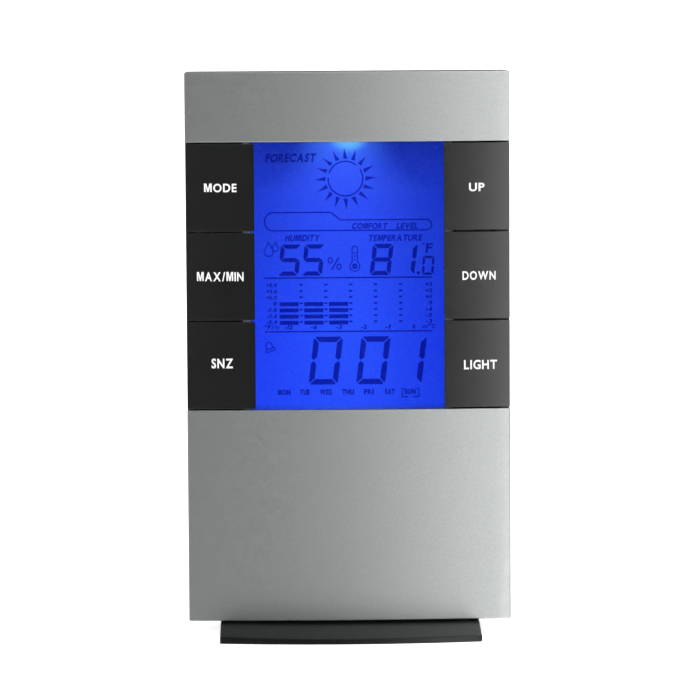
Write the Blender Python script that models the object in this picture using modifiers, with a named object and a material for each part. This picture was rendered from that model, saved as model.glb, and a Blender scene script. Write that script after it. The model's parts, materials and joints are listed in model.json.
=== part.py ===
"""Desktop weather station: a slim silver and black case on a plug-in foot, with six press keys,
a side-lit liquid crystal display, a circuit board and two AAA cells behind a hinged door.

The front looks along -Y and +Z is up. The origin is on the table under the middle of the object.
Depths into the case are counted from the crown of the curved front face and are turned into Y by deep().
"""

import math

import bmesh
import bpy
from mathutils import Matrix, Vector

MM = 0.001

# ---------------------------------------------------------------- driving dimensions
CASE_WIDTH = 77.0 * MM
CASE_HEIGHT = 130.9 * MM
CASE_DEPTH = 24.0 * MM
TOP_BAND = 16.6 * MM
KEY_ZONE = 63.6 * MM
FRONT_RADIUS = 500.0 * MM
FOOT_WIDTH = 62.0 * MM
FOOT_REACH = 13.0 * MM
FOOT_THICKNESS = 3.3 * MM
FOOT_LIP = 1.3 * MM
FOOT_FRONT_RADIUS = 190.0 * MM

# ---------------------------------------------------------------- gaps and walls
GAP = 0.3 * MM
SHEET_GAP = 0.1 * MM
WALL = 2.0 * MM
OVERRUN = 1.0 * MM

# ---------------------------------------------------------------- places that follow from them
HALF_WIDTH = CASE_WIDTH / 2
CASE_FOOT_Z = FOOT_THICKNESS + GAP
CASE_TOP_Z = CASE_FOOT_Z + CASE_HEIGHT
ZONE_TOP_Z = CASE_TOP_Z - TOP_BAND
ZONE_FOOT_Z = ZONE_TOP_Z - KEY_ZONE
CROWN_Y = FOOT_REACH - (FOOT_REACH + CASE_DEPTH) / 2

# Depths behind the crown of the front face.
FACE_INNER = 2.4 * MM
DECK_FRONT = 4.2 * MM
DECK_BACK = 5.6 * MM
SHELL_RIM = 9.5 * MM
COVER_RIM = SHELL_RIM + GAP
BACK_INNER = CASE_DEPTH - WALL
BOARD_FRONT = 10.5 * MM
BOARD_BACK = 12.1 * MM

# The window through the deck, and the frame that fills it.
WINDOW_HALF = 25.4 * MM
WINDOW_FOOT_Z = ZONE_FOOT_Z - 6.5 * MM
WINDOW_TOP_Z = ZONE_TOP_Z + 3.3 * MM
LENS_X = (-21.9 * MM, 22.5 * MM)

# Keys: three on each side of the lens.
KEY_INNER_X = {-1: 22.15 * MM, 1: 22.75 * MM}
KEY_OUTER_X = HALF_WIDTH - 0.1 * MM
KEY_END_GAP = 0.35 * MM
KEY_MID_GAP = 0.45 * MM
KEY_TRAVEL = 0.4 * MM
KEY_HEIGHT = (KEY_ZONE - 2 * KEY_END_GAP - 2 * KEY_MID_GAP) / 3
KEY_BACK = 3.0 * MM
KEY_SKIRT = DECK_FRONT - KEY_TRAVEL - 0.1 * MM
KEY_SKIRT_WALL = 2.0 * MM
# Ribs on the deck, just inside the key skirts, that close the gap under the skirts to light and dust.
RIB_X = (34.8 * MM, 36.0 * MM)
RIB_FRONT = KEY_BACK + KEY_TRAVEL + 0.15 * MM
POST_X = 30.7 * MM
POST_RADIUS = 1.5 * MM
LEG_X = (26.6 * MM, 29.4 * MM)
LEG_OFFSET_Z = 8.0 * MM
LEG_THICKNESS = 1.2 * MM
BARB = 0.5 * MM

# Bosses and screws.
CASE_SCREW_X = 31.9 * MM
CASE_SCREW_Z = (CASE_FOOT_Z + 6.5 * MM, CASE_TOP_Z - 6.5 * MM)
BOARD_SCREW_X = 32.4 * MM
FOOT_SCREW_X = 20.0 * MM
FOOT_SCREW_DEPTH = 16.9 * MM

# Circuit board.
BOARD_HALF = 34.8 * MM
BOARD_Z = (45.5 * MM, 124.9 * MM)

# Battery bay, moulded in the rear cover, and its door.
CELL_RADIUS = 5.2 * MM
CELL_LENGTH = 44.5 * MM
CELL_Z = (22.9 * MM, 34.5 * MM)
CELL_DEPTH = 16.15 * MM
BAY_HALF = 25.2 * MM
BAY_Z = (17.2 * MM, 40.2 * MM)
BAY_FLOOR = 10.6 * MM
BAY_WALL = 1.4 * MM
DOOR_HALF = 28.5 * MM
DOOR_AXIS_Z = 15.9 * MM
DOOR_TOP_Z = 43.0 * MM
DOOR_INNER = 22.3 * MM
DOOR_AXIS_DEPTH = 22.6 * MM
KNUCKLE_RADIUS = CASE_DEPTH - DOOR_AXIS_DEPTH
PIN_RADIUS = 0.75 * MM
PIN_LENGTH = 1.4 * MM

# Wall-hanging keyhole in the rear cover.
KEYHOLE_Z = 119.5 * MM
KEYHOLE_RADIUS = 4.3 * MM
KEYHOLE_SLOT = 2.3 * MM
KEYHOLE_RISE = 6.0 * MM

# Smaller pieces.
PLUNGER_TIP = 5.9 * MM
LED_DEPTH = 8.1 * MM
BUZZER_X = -14.0 * MM
BUZZER_Z = 64.0 * MM
SPRING_WIRE = 0.3 * MM

# Sides of a round solid.
ROUND = 20
SMALL_ROUND = 12

# Name, side (-1 left, 1 right as the user sees it) and row, counted from the top.
KEYS = [
    ("mode", -1, 0),
    ("max_min", -1, 1),
    ("snooze", -1, 2),
    ("up", 1, 0),
    ("down", 1, 1),
    ("light", 1, 2),
]


def deep(depth):
    """Y of a plane this far behind the crown of the front face."""
    return CROWN_Y + depth


def face_depth(x):
    """How far the curved front face lies behind its crown at x."""
    return FRONT_RADIUS - math.sqrt(FRONT_RADIUS**2 - x**2)


def key_centre_z(row):
    """Height of the middle of a key, rows counted from the top."""
    pitch = KEY_HEIGHT + KEY_MID_GAP
    return ZONE_TOP_Z - KEY_END_GAP - KEY_HEIGHT / 2 - row * pitch


def board_screw_places():
    """(x, z) of the four board screws, each between two keys of one side."""
    rows = [(key_centre_z(row) + key_centre_z(row + 1)) / 2 for row in (0, 1)]
    return [(side * BOARD_SCREW_X, z) for side in (-1, 1) for z in rows]


# ---------------------------------------------------------------- scene, materials and object helpers
def clear_scene():
    for obj in list(bpy.data.objects):
        bpy.data.objects.remove(obj)


def new_collection(name):
    collection = bpy.data.collections.new(name)
    bpy.context.scene.collection.children.link(collection)
    return collection


def material(name, colour, roughness, metallic=0.0):
    made = bpy.data.materials.new(name)
    made.use_nodes = True
    shader = made.node_tree.nodes["Principled BSDF"]
    shader.inputs["Base Color"].default_value = (*colour, 1.0)
    shader.inputs["Roughness"].default_value = roughness
    shader.inputs["Metallic"].default_value = metallic
    made.diffuse_color = (*colour, 1.0)
    return made


def object_from(bm, name, finish=None, origin=(0, 0, 0)):
    """An object with the mesh of bm, given in the station's frame. With no finish it is a helper."""
    bmesh.ops.recalc_face_normals(bm, faces=bm.faces)
    bmesh.ops.translate(bm, verts=bm.verts, vec=-Vector(origin))
    mesh = bpy.data.meshes.new(name)
    bm.to_mesh(mesh)
    bm.free()
    mesh.shade_smooth()
    mesh.set_sharp_from_angle(angle=math.radians(35))
    obj = bpy.data.objects.new(name, mesh)
    obj.location = origin
    if finish is None:
        helpers.objects.link(obj)
        obj.hide_render = True
        obj.display_type = "WIRE"
    else:
        station.objects.link(obj)
        mesh.materials.append(finish)
    return obj


def add_box(bm, x, y, z):
    """A box between the pairs x, y and z."""
    low, high = Vector((x[0], y[0], z[0])), Vector((x[1], y[1], z[1]))
    place = Matrix.Translation((low + high) / 2) @ Matrix.Diagonal((*(high - low), 1))
    bmesh.ops.create_cube(bm, size=1, matrix=place)


def add_cylinder(bm, start, end, radius, end_radius=None, segments=ROUND):
    """A cylinder, or a cone frustum, between two points."""
    start, end = Vector(start), Vector(end)
    turn = (end - start).to_track_quat("Z", "Y").to_matrix().to_4x4()
    bmesh.ops.create_cone(
        bm,
        cap_ends=True,
        segments=segments,
        radius1=radius,
        radius2=radius if end_radius is None else end_radius,
        depth=(end - start).length,
        matrix=Matrix.Translation((start + end) / 2) @ turn,
    )


def post(x, z, start, end, radius, segments=ROUND):
    """A cylinder that runs between two depths, as one entry for shapes()."""
    return (add_cylinder, (x, deep(start), z), (x, deep(end), z), radius, None, segments)


def box(name, x, y, z, finish=None, origin=(0, 0, 0)):
    bm = bmesh.new()
    add_box(bm, x, y, z)
    return object_from(bm, name, finish, origin)


def cylinder(name, start, end, radius, finish=None, origin=(0, 0, 0), segments=ROUND):
    bm = bmesh.new()
    add_cylinder(bm, start, end, radius, segments=segments)
    return object_from(bm, name, finish, origin)


def shapes(name, *adders):
    """A helper made of several bodies that don't touch each other."""
    bm = bmesh.new()
    for add, *values in adders:
        add(bm, *values)
    return object_from(bm, name)


def solid_of(drawn):
    """The closed mesh that a drawn curve or profile makes, as a bmesh. The drawn object is removed."""
    bpy.context.scene.collection.objects.link(drawn)
    graph = bpy.context.evaluated_depsgraph_get()
    mesh = bpy.data.meshes.new_from_object(drawn.evaluated_get(graph))
    bpy.data.objects.remove(drawn)
    bm = bmesh.new()
    bm.from_mesh(mesh)
    bpy.data.meshes.remove(mesh)
    bmesh.ops.remove_doubles(bm, verts=bm.verts, dist=0.001 * MM)
    return bm


def extruded(name, outline, span, finish=None, origin=(0, 0, 0), along="Z"):
    """A flat outline given thickness over span: (x, y) points along Z, or (y, z) points along X."""
    curve = bpy.data.curves.new(name, "CURVE")
    curve.dimensions = "2D"
    curve.fill_mode = "BOTH"
    curve.extrude = (span[1] - span[0]) / 2
    spline = curve.splines.new("POLY")
    spline.points.add(len(outline) - 1)
    for point, (u, v) in zip(spline.points, outline):
        point.co = (u, v, 0, 1)
    spline.use_cyclic_u = True
    bm = solid_of(bpy.data.objects.new(name, curve))
    bpy.data.curves.remove(curve)
    turn = Matrix.Identity(4)
    if along == "X":
        turn = Matrix(((0, 0, 1, 0), (1, 0, 0, 0), (0, 1, 0, 0), (0, 0, 0, 1)))
    move = turn @ Matrix.Translation((0, 0, (span[0] + span[1]) / 2))
    bmesh.ops.transform(bm, matrix=move, verts=bm.verts)
    return object_from(bm, name, finish, origin)


def boolean(target, helper, operation):
    modifier = target.modifiers.new(helper.name, "BOOLEAN")
    modifier.operation = operation
    modifier.solver = "EXACT"
    modifier.object = helper


def cut(target, *helpers_):
    for helper in helpers_:
        boolean(target, helper, "DIFFERENCE")


def join(target, *helpers_):
    for helper in helpers_:
        boolean(target, helper, "UNION")


def turned(name, profile, centre, axis, finish, segments=ROUND):
    """A solid turned about an axis through centre, from its (radius, height) points, foot first."""
    mesh = bpy.data.meshes.new(name)
    corners = [(radius, 0, height) for radius, height in reversed(profile)]
    mesh.from_pydata(corners, [(k, k + 1) for k in range(len(corners) - 1)], [])
    drawn = bpy.data.objects.new(name, mesh)
    screw = drawn.modifiers.new("turn", "SCREW")
    screw.steps = segments
    screw.render_steps = segments
    screw.use_merge_vertices = True
    screw.merge_threshold = 0.001 * MM
    bm = solid_of(drawn)
    bpy.data.meshes.remove(mesh)
    turn = Vector(axis).to_track_quat("Z", "Y").to_matrix().to_4x4()
    bmesh.ops.transform(bm, matrix=Matrix.Translation(centre) @ turn, verts=bm.verts)
    return object_from(bm, name, finish, centre)


def wire(name, points, radius, finish):
    """A round wire along points, as a bevelled poly curve with filled caps."""
    curve = bpy.data.curves.new(name, "CURVE")
    curve.dimensions = "3D"
    curve.bevel_depth = radius
    curve.bevel_resolution = 2
    curve.use_fill_caps = True
    spline = curve.splines.new("POLY")
    spline.points.add(len(points) - 1)
    for point, place in zip(spline.points, points):
        point.co = (*place, 1)
    curve.materials.append(finish)
    obj = bpy.data.objects.new(name, curve)
    station.objects.link(obj)
    return obj


def smooth_route(points, steps=4):
    """Points on a Catmull-Rom curve through the given ones."""
    ends = [2 * points[0] - points[1], *points, 2 * points[-1] - points[-2]]
    route = []
    for a, b, c, d in zip(ends, ends[1:], ends[2:], ends[3:]):
        for step in range(steps):
            t = step / steps
            route.append(
                (2 * b + (c - a) * t + (2 * a - 5 * b + 4 * c - d) * t**2 + (3 * b - a - 3 * c + d) * t**3)
                / 2
            )
    return [*route, points[-1]]


def arc_outline(radius, apex_y, x_from, x_to, steps):
    """(x, y) points on an arc that bulges towards -Y with its apex at apex_y on x = 0."""
    xs = [x_from + (x_to - x_from) * step / steps for step in range(steps + 1)]
    return [(x, apex_y + radius - math.sqrt(radius**2 - x**2)) for x in xs]


# ---------------------------------------------------------------- housing
def make_front_shell(silver):
    """Silver front: top band, lower panel, and between them a deck that carries the keys."""
    face = arc_outline(FRONT_RADIUS, CROWN_Y, -HALF_WIDTH, HALF_WIDTH, 24)
    outline = [(-HALF_WIDTH, deep(SHELL_RIM)), *face, (HALF_WIDTH, deep(SHELL_RIM))]
    shell = extruded("front_shell", outline, (CASE_FOOT_Z, CASE_TOP_Z), silver)
    inside = (-HALF_WIDTH + WALL, HALF_WIDTH - WALL)
    out_back = deep(SHELL_RIM + OVERRUN)
    step_wall = 1.4 * MM
    right_half = [
        (HALF_WIDTH + OVERRUN, deep(-OVERRUN)),
        (HALF_WIDTH + OVERRUN, deep(DECK_FRONT)),
        (RIB_X[1], deep(DECK_FRONT)),
        (RIB_X[1], deep(RIB_FRONT)),
        (RIB_X[0], deep(RIB_FRONT)),
        (RIB_X[0], deep(DECK_FRONT)),
    ]
    zone = right_half + [(-x, y) for x, y in reversed(right_half)]
    cut(
        shell,
        extruded("shell_key_zone", zone, (ZONE_FOOT_Z, ZONE_TOP_Z)),
        box(
            "shell_top_hollow",
            inside,
            (deep(FACE_INNER), out_back),
            (ZONE_TOP_Z + step_wall, CASE_TOP_Z - WALL),
        ),
        box(
            "shell_low_hollow",
            inside,
            (deep(FACE_INNER), out_back),
            (CASE_FOOT_Z + WALL, ZONE_FOOT_Z - step_wall),
        ),
        box(
            "shell_mid_hollow",
            inside,
            (deep(DECK_BACK), out_back + OVERRUN),
            (CASE_FOOT_Z + 2 * WALL, CASE_TOP_Z - 2 * WALL),
        ),
        box(
            "shell_window",
            (-WINDOW_HALF, WINDOW_HALF),
            (deep(FACE_INNER), deep(DECK_BACK + OVERRUN)),
            (WINDOW_FOOT_Z, WINDOW_TOP_Z),
        ),
    )
    bosses, pilots = [], []
    for side in (-1, 1):
        for z in CASE_SCREW_Z:
            x = side * CASE_SCREW_X
            bosses.append(post(x, z, FACE_INNER - 0.6 * MM, 14.0 * MM, 2.9 * MM, 16))
            pilots.append(post(x, z, 5.2 * MM, 15.0 * MM, 1.1 * MM, 12))
    for x, z in board_screw_places():
        bosses.append(post(x, z, DECK_BACK - 0.6 * MM, BOARD_FRONT - GAP, 2.2 * MM, 16))
        pilots.append(post(x, z, 6.4 * MM, 11.0 * MM, 0.9 * MM, 12))
    drilled = shapes("shell_bosses", *bosses)
    cut(drilled, shapes("shell_pilots", *pilots))
    join(shell, drilled)
    key_holes = []
    through = (deep(DECK_FRONT - OVERRUN), deep(DECK_BACK + OVERRUN))
    for _, side, row in KEYS:
        z = key_centre_z(row)
        hole = (DECK_FRONT - OVERRUN, DECK_BACK + OVERRUN, POST_RADIUS + 0.4 * MM)
        key_holes.append(post(side * POST_X, z, *hole))
        leg_x = sorted(side * value for value in LEG_X)
        for up in (-1, 1):
            near = z + up * (LEG_OFFSET_Z - LEG_THICKNESS / 2 - 0.2 * MM)
            far = z + up * (LEG_OFFSET_Z + LEG_THICKNESS / 2 + 0.15 * MM)
            key_holes.append(
                (
                    add_box,
                    (leg_x[0] - 0.2 * MM, leg_x[1] + 0.2 * MM),
                    through,
                    (min(near, far), max(near, far)),
                )
            )
    cut(shell, shapes("shell_key_holes", *key_holes))


def make_rear_cover(black):
    """Black rear shell with the battery bay, screw tubes, vents, buzzer holes and a wall keyhole."""
    bm = bmesh.new()
    add_box(
        bm,
        (-HALF_WIDTH, HALF_WIDTH),
        (deep(COVER_RIM), deep(CASE_DEPTH)),
        (CASE_FOOT_Z, CASE_TOP_Z),
    )
    back = deep(CASE_DEPTH) - 0.01 * MM
    rounded = [e for e in bm.edges if all(v.co.y > back for v in e.verts)]
    bmesh.ops.bevel(bm, geom=rounded, offset=2.5 * MM, segments=4, profile=0.5, affect="EDGES")
    cover = object_from(bm, "rear_cover", black)
    inside_x = (-HALF_WIDTH + WALL, HALF_WIDTH - WALL)
    inside_z = (CASE_FOOT_Z + WALL, CASE_TOP_Z - WALL)
    cut(
        cover,
        box("cover_hollow", inside_x, (deep(COVER_RIM - OVERRUN), deep(BACK_INNER)), inside_z),
    )
    join(cover, *cover_lips(inside_x[1], inside_z))
    join(
        cover,
        box(
            "cover_door_ledge",
            (-DOOR_HALF - 2.4 * MM, DOOR_HALF + 2.4 * MM),
            (deep(20.4 * MM), deep(BACK_INNER + 0.5 * MM)),
            (DOOR_AXIS_Z - 2.9 * MM, DOOR_TOP_Z + 1.4 * MM),
        ),
        box(
            "cover_bay",
            (-BAY_HALF - BAY_WALL, BAY_HALF + BAY_WALL),
            (deep(BAY_FLOOR - BAY_WALL), deep(21.0 * MM)),
            (BAY_Z[0] - BAY_WALL, BAY_Z[1] + BAY_WALL),
        ),
    )
    tubes, holes, heads = [], [], []
    for side in (-1, 1):
        for z in CASE_SCREW_Z:
            x = side * CASE_SCREW_X
            tubes.append(post(x, z, 14.3 * MM, BACK_INNER + 0.5 * MM, 3.6 * MM))
            holes.append(post(x, z, 13.0 * MM, 19.0 * MM, 1.3 * MM))
            heads.append(post(x, z, 17.6 * MM, 25.0 * MM, 2.5 * MM))
        x, y = side * FOOT_SCREW_X, deep(FOOT_SCREW_DEPTH)
        low = CASE_FOOT_Z
        tubes.append((add_cylinder, (x, y, low + 1.0 * MM), (x, y, low + 8.0 * MM), 3.0 * MM))
        holes.append((add_cylinder, (x, y, low - 1.0 * MM), (x, y, low + 7.5 * MM), 1.15 * MM))
    join(cover, shapes("cover_tubes", *tubes))
    cut(
        cover,
        shapes("cover_screw_holes", *holes),
        shapes("cover_screw_heads", *heads),
        box("cover_bay_inside", (-BAY_HALF, BAY_HALF), (deep(BAY_FLOOR), deep(25.0 * MM)), BAY_Z),
        box(
            "cover_door_seat",
            (-DOOR_HALF - GAP, DOOR_HALF + GAP),
            (deep(DOOR_INNER - 0.2 * MM), deep(25.0 * MM)),
            (DOOR_AXIS_Z, DOOR_TOP_Z + GAP),
        ),
        box(
            "cover_knuckle_seat",
            (-DOOR_HALF - GAP, DOOR_HALF + GAP),
            (deep(DOOR_AXIS_DEPTH) - KNUCKLE_RADIUS - GAP, deep(25.0 * MM)),
            (DOOR_AXIS_Z - KNUCKLE_RADIUS - 0.4 * MM, DOOR_AXIS_Z + KNUCKLE_RADIUS + 0.4 * MM),
        ),
        cylinder(
            "cover_pin_holes",
            (-DOOR_HALF - PIN_LENGTH - 0.2 * MM, deep(DOOR_AXIS_DEPTH), DOOR_AXIS_Z),
            (DOOR_HALF + PIN_LENGTH + 0.2 * MM, deep(DOOR_AXIS_DEPTH), DOOR_AXIS_Z),
            PIN_RADIUS + 0.15 * MM,
            segments=SMALL_ROUND,
        ),
        cylinder(
            "cover_nail_notch",
            (-6.0 * MM, deep(CASE_DEPTH + 2.4 * MM), DOOR_TOP_Z + 0.8 * MM),
            (6.0 * MM, deep(CASE_DEPTH + 2.4 * MM), DOOR_TOP_Z + 0.8 * MM),
            3.8 * MM,
        ),
        shapes(
            "cover_contact_slots",
            *[
                (
                    add_box,
                    (-BAY_HALF - 2 * BAY_WALL, -BAY_HALF + OVERRUN),
                    (deep(CELL_DEPTH - 1.5 * MM), deep(CELL_DEPTH + 1.5 * MM)),
                    (z - 0.6 * MM, z + 0.6 * MM),
                )
                for z in CELL_Z
            ],
        ),
    )
    cut_rear_openings(cover)


def cover_lips(wall_x, wall_z):
    """The ring that locates the rear cover in the front shell: its root and its free tongue."""
    rings = []
    for name, outer, start, end in (
        ("cover_lip_root", -0.2 * MM, COVER_RIM, COVER_RIM + 1.7 * MM),
        ("cover_lip_tongue", GAP, SHELL_RIM - 1.3 * MM, COVER_RIM + 0.4 * MM),
    ):
        ring = box(
            name,
            (-wall_x + outer, wall_x - outer),
            (deep(start), deep(end)),
            (wall_z[0] + outer, wall_z[1] - outer),
        )
        inner = 1.3 * MM
        cut(
            ring,
            box(
                name + "_inside",
                (-wall_x + inner, wall_x - inner),
                (deep(start - OVERRUN), deep(end + OVERRUN)),
                (wall_z[0] + inner, wall_z[1] - inner),
            ),
        )
        rings.append(ring)
    return rings


def cut_rear_openings(cover):
    """Sensor vents, buzzer holes and the keyhole, all through the back wall."""
    through = (deep(BACK_INNER - OVERRUN), deep(CASE_DEPTH + OVERRUN))
    vents = [
        (add_box, (-12.0 * MM, 12.0 * MM), through, (z - 0.6 * MM, z + 0.6 * MM))
        for z in [(94.0 + 2.8 * slot) * MM for slot in range(7)]
    ]
    sound = [(BUZZER_X, BUZZER_Z)] + [
        (
            BUZZER_X + 2.8 * MM * math.cos(turn * math.pi / 3),
            BUZZER_Z + 2.8 * MM * math.sin(turn * math.pi / 3),
        )
        for turn in range(6)
    ]
    holes = [(add_cylinder, (x, through[0], z), (x, through[1], z), 0.6 * MM, None, 8) for x, z in sound]
    cut(
        cover,
        shapes("cover_vents", *vents),
        shapes("cover_sound_holes", *holes),
        cylinder(
            "keyhole_head", (0, through[0], KEYHOLE_Z), (0, through[1], KEYHOLE_Z), KEYHOLE_RADIUS
        ),
        box(
            "keyhole_slot",
            (-KEYHOLE_SLOT, KEYHOLE_SLOT),
            through,
            (KEYHOLE_Z, KEYHOLE_Z + KEYHOLE_RISE),
        ),
        cylinder(
            "keyhole_end",
            (0, through[0], KEYHOLE_Z + KEYHOLE_RISE),
            (0, through[1], KEYHOLE_Z + KEYHOLE_RISE),
            KEYHOLE_SLOT,
        ),
    )


def make_foot_plate(black):
    """Flat foot that reaches forward of the case, with a bowed front edge and a sloped top."""
    half = FOOT_WIDTH / 2
    front = arc_outline(FOOT_FRONT_RADIUS, deep(-FOOT_REACH), -half, half, 16)
    back = deep(CASE_DEPTH - GAP)
    corner = 2.0 * MM
    outline = [
        (-half + corner, back),
        (-half, back - corner),
        *front,
        (half, back - corner),
        (half - corner, back),
    ]
    foot = extruded("foot_plate", outline, (0, FOOT_THICKNESS), black)
    slope = [
        (deep(-FOOT_REACH), FOOT_LIP),
        (deep(0.5 * MM), FOOT_THICKNESS),
        (deep(0.5 * MM), FOOT_THICKNESS + 2 * OVERRUN),
        (deep(-FOOT_REACH - 2 * OVERRUN), FOOT_THICKNESS + 2 * OVERRUN),
        (deep(-FOOT_REACH - 2 * OVERRUN), FOOT_LIP - 2 * OVERRUN * (FOOT_THICKNESS - FOOT_LIP) / FOOT_REACH),
    ]
    cut(foot, extruded("foot_slope", slope, (-half - OVERRUN, half + OVERRUN), along="X"))
    bores, throats, pockets = [], [], []
    for side in (-1, 1):
        x, y = side * FOOT_SCREW_X, deep(FOOT_SCREW_DEPTH)
        bores.append((add_cylinder, (x, y, -OVERRUN), (x, y, 1.7 * MM), 2.6 * MM))
        throats.append((add_cylinder, (x, y, 0.5 * MM), (x, y, 5.0 * MM), 1.4 * MM))
        for x_span in ((3.0 * MM, 14.5 * MM), (16.0 * MM, 27.5 * MM)):
            pocket_x = sorted(side * value for value in x_span)
            pockets.append((add_box, pocket_x, (deep(1.5 * MM), deep(11.0 * MM)), (-OVERRUN, 1.6 * MM)))
    cut(
        foot,
        shapes("foot_bores", *bores),
        shapes("foot_throats", *throats),
        shapes("foot_pockets", *pockets),
    )


def make_battery_door(black):
    """Door on two pivot pins at its lower edge, with a sprung latch tongue at its top."""
    axis = (0, deep(DOOR_AXIS_DEPTH), DOOR_AXIS_Z)
    below = [
        (
            axis[1] + KNUCKLE_RADIUS * math.cos(turn * math.pi / 12),
            axis[2] - KNUCKLE_RADIUS * math.sin(turn * math.pi / 12),
        )
        for turn in range(0, 13)
    ]
    outline = [
        (deep(CASE_DEPTH), DOOR_TOP_Z),
        *below,
        (axis[1] - KNUCKLE_RADIUS, axis[2] + 1.0 * MM),
        (deep(DOOR_INNER), axis[2] + 1.7 * MM),
        (deep(DOOR_INNER), DOOR_TOP_Z),
    ]
    door = extruded("battery_door", outline, (-DOOR_HALF, DOOR_HALF), black, axis, along="X")
    join(
        door,
        cylinder(
            "door_pins",
            (-DOOR_HALF - PIN_LENGTH, *axis[1:]),
            (DOOR_HALF + PIN_LENGTH, *axis[1:]),
            PIN_RADIUS,
            segments=SMALL_ROUND,
        ),
    )
    across = (deep(DOOR_INNER - OVERRUN), deep(CASE_DEPTH + OVERRUN))
    slit_z = (DOOR_TOP_Z - 6.0 * MM, DOOR_TOP_Z + OVERRUN)
    slits = [
        (add_box, sorted((side * 5.0 * MM, side * 5.8 * MM)), across, slit_z) for side in (-1, 1)
    ]
    grips = [
        (
            add_box,
            (-4.0 * MM, 4.0 * MM),
            (deep(CASE_DEPTH - 0.4 * MM), deep(CASE_DEPTH + OVERRUN)),
            (z, z + 0.5 * MM),
        )
        for z in [DOOR_TOP_Z - (2.0 + rib) * MM for rib in range(3)]
    ]
    cut(door, shapes("door_slits", *slits), shapes("door_grips", *grips))


def make_display_lens(clear):
    """Clear window: a boss that fills the opening flush, on a flange tucked behind the silver face."""
    face = arc_outline(FRONT_RADIUS, deep(SHEET_GAP), *LENS_X, 14)
    outline = [(LENS_X[0], deep(3.0 * MM)), *face, (LENS_X[1], deep(3.0 * MM))]
    z = (ZONE_FOOT_Z + 0.2 * MM, ZONE_TOP_Z - 0.2 * MM)
    lens = extruded("display_lens", outline, z, clear)
    join(
        lens,
        box(
            "lens_flange",
            LENS_X,
            (deep(FACE_INNER + 0.2 * MM), deep(3.4 * MM)),
            (ZONE_FOOT_Z - 4.9 * MM, ZONE_TOP_Z + 2.0 * MM),
        ),
    )


def make_key(name, side, row, black):
    """Key cap flush with the curved face, with a post for its switch and two barbed legs."""
    z = key_centre_z(row)
    centre = (side * POST_X, deep(face_depth(POST_X)), z)
    face = arc_outline(FRONT_RADIUS, CROWN_Y, side * KEY_INNER_X[side], side * KEY_OUTER_X, 6)
    skirt_x = side * (KEY_OUTER_X - KEY_SKIRT_WALL)
    outline = [
        *face,
        (side * KEY_OUTER_X, deep(KEY_SKIRT)),
        (skirt_x, deep(KEY_SKIRT)),
        (skirt_x, deep(KEY_BACK)),
        (side * KEY_INNER_X[side], deep(KEY_BACK)),
    ]
    key = extruded("key_" + name, outline, (z - KEY_HEIGHT / 2, z + KEY_HEIGHT / 2), black, centre)
    root = deep(KEY_BACK - 0.4 * MM)
    join(
        key,
        cylinder(
            f"key_{name}_post",
            (centre[0], root, z),
            (centre[0], deep(PLUNGER_TIP - SHEET_GAP), z),
            POST_RADIUS,
            segments=SMALL_ROUND,
        ),
    )
    for up in (-1, 1):
        near = z + up * (LEG_OFFSET_Z - LEG_THICKNESS / 2)
        far = z + up * (LEG_OFFSET_Z + LEG_THICKNESS / 2)
        hook = deep(DECK_BACK + 0.15 * MM)
        tip = deep(6.8 * MM)
        leg = [
            (root, near),
            (tip, near),
            (tip, far - up * 0.3 * MM),
            (hook + 0.4 * MM, far + up * BARB),
            (hook, far + up * BARB),
            (hook, far),
            (root, far),
        ]
        leg_x = sorted(side * value for value in LEG_X)
        join(key, extruded(f"key_{name}_leg", leg, leg_x, along="X"))


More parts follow.
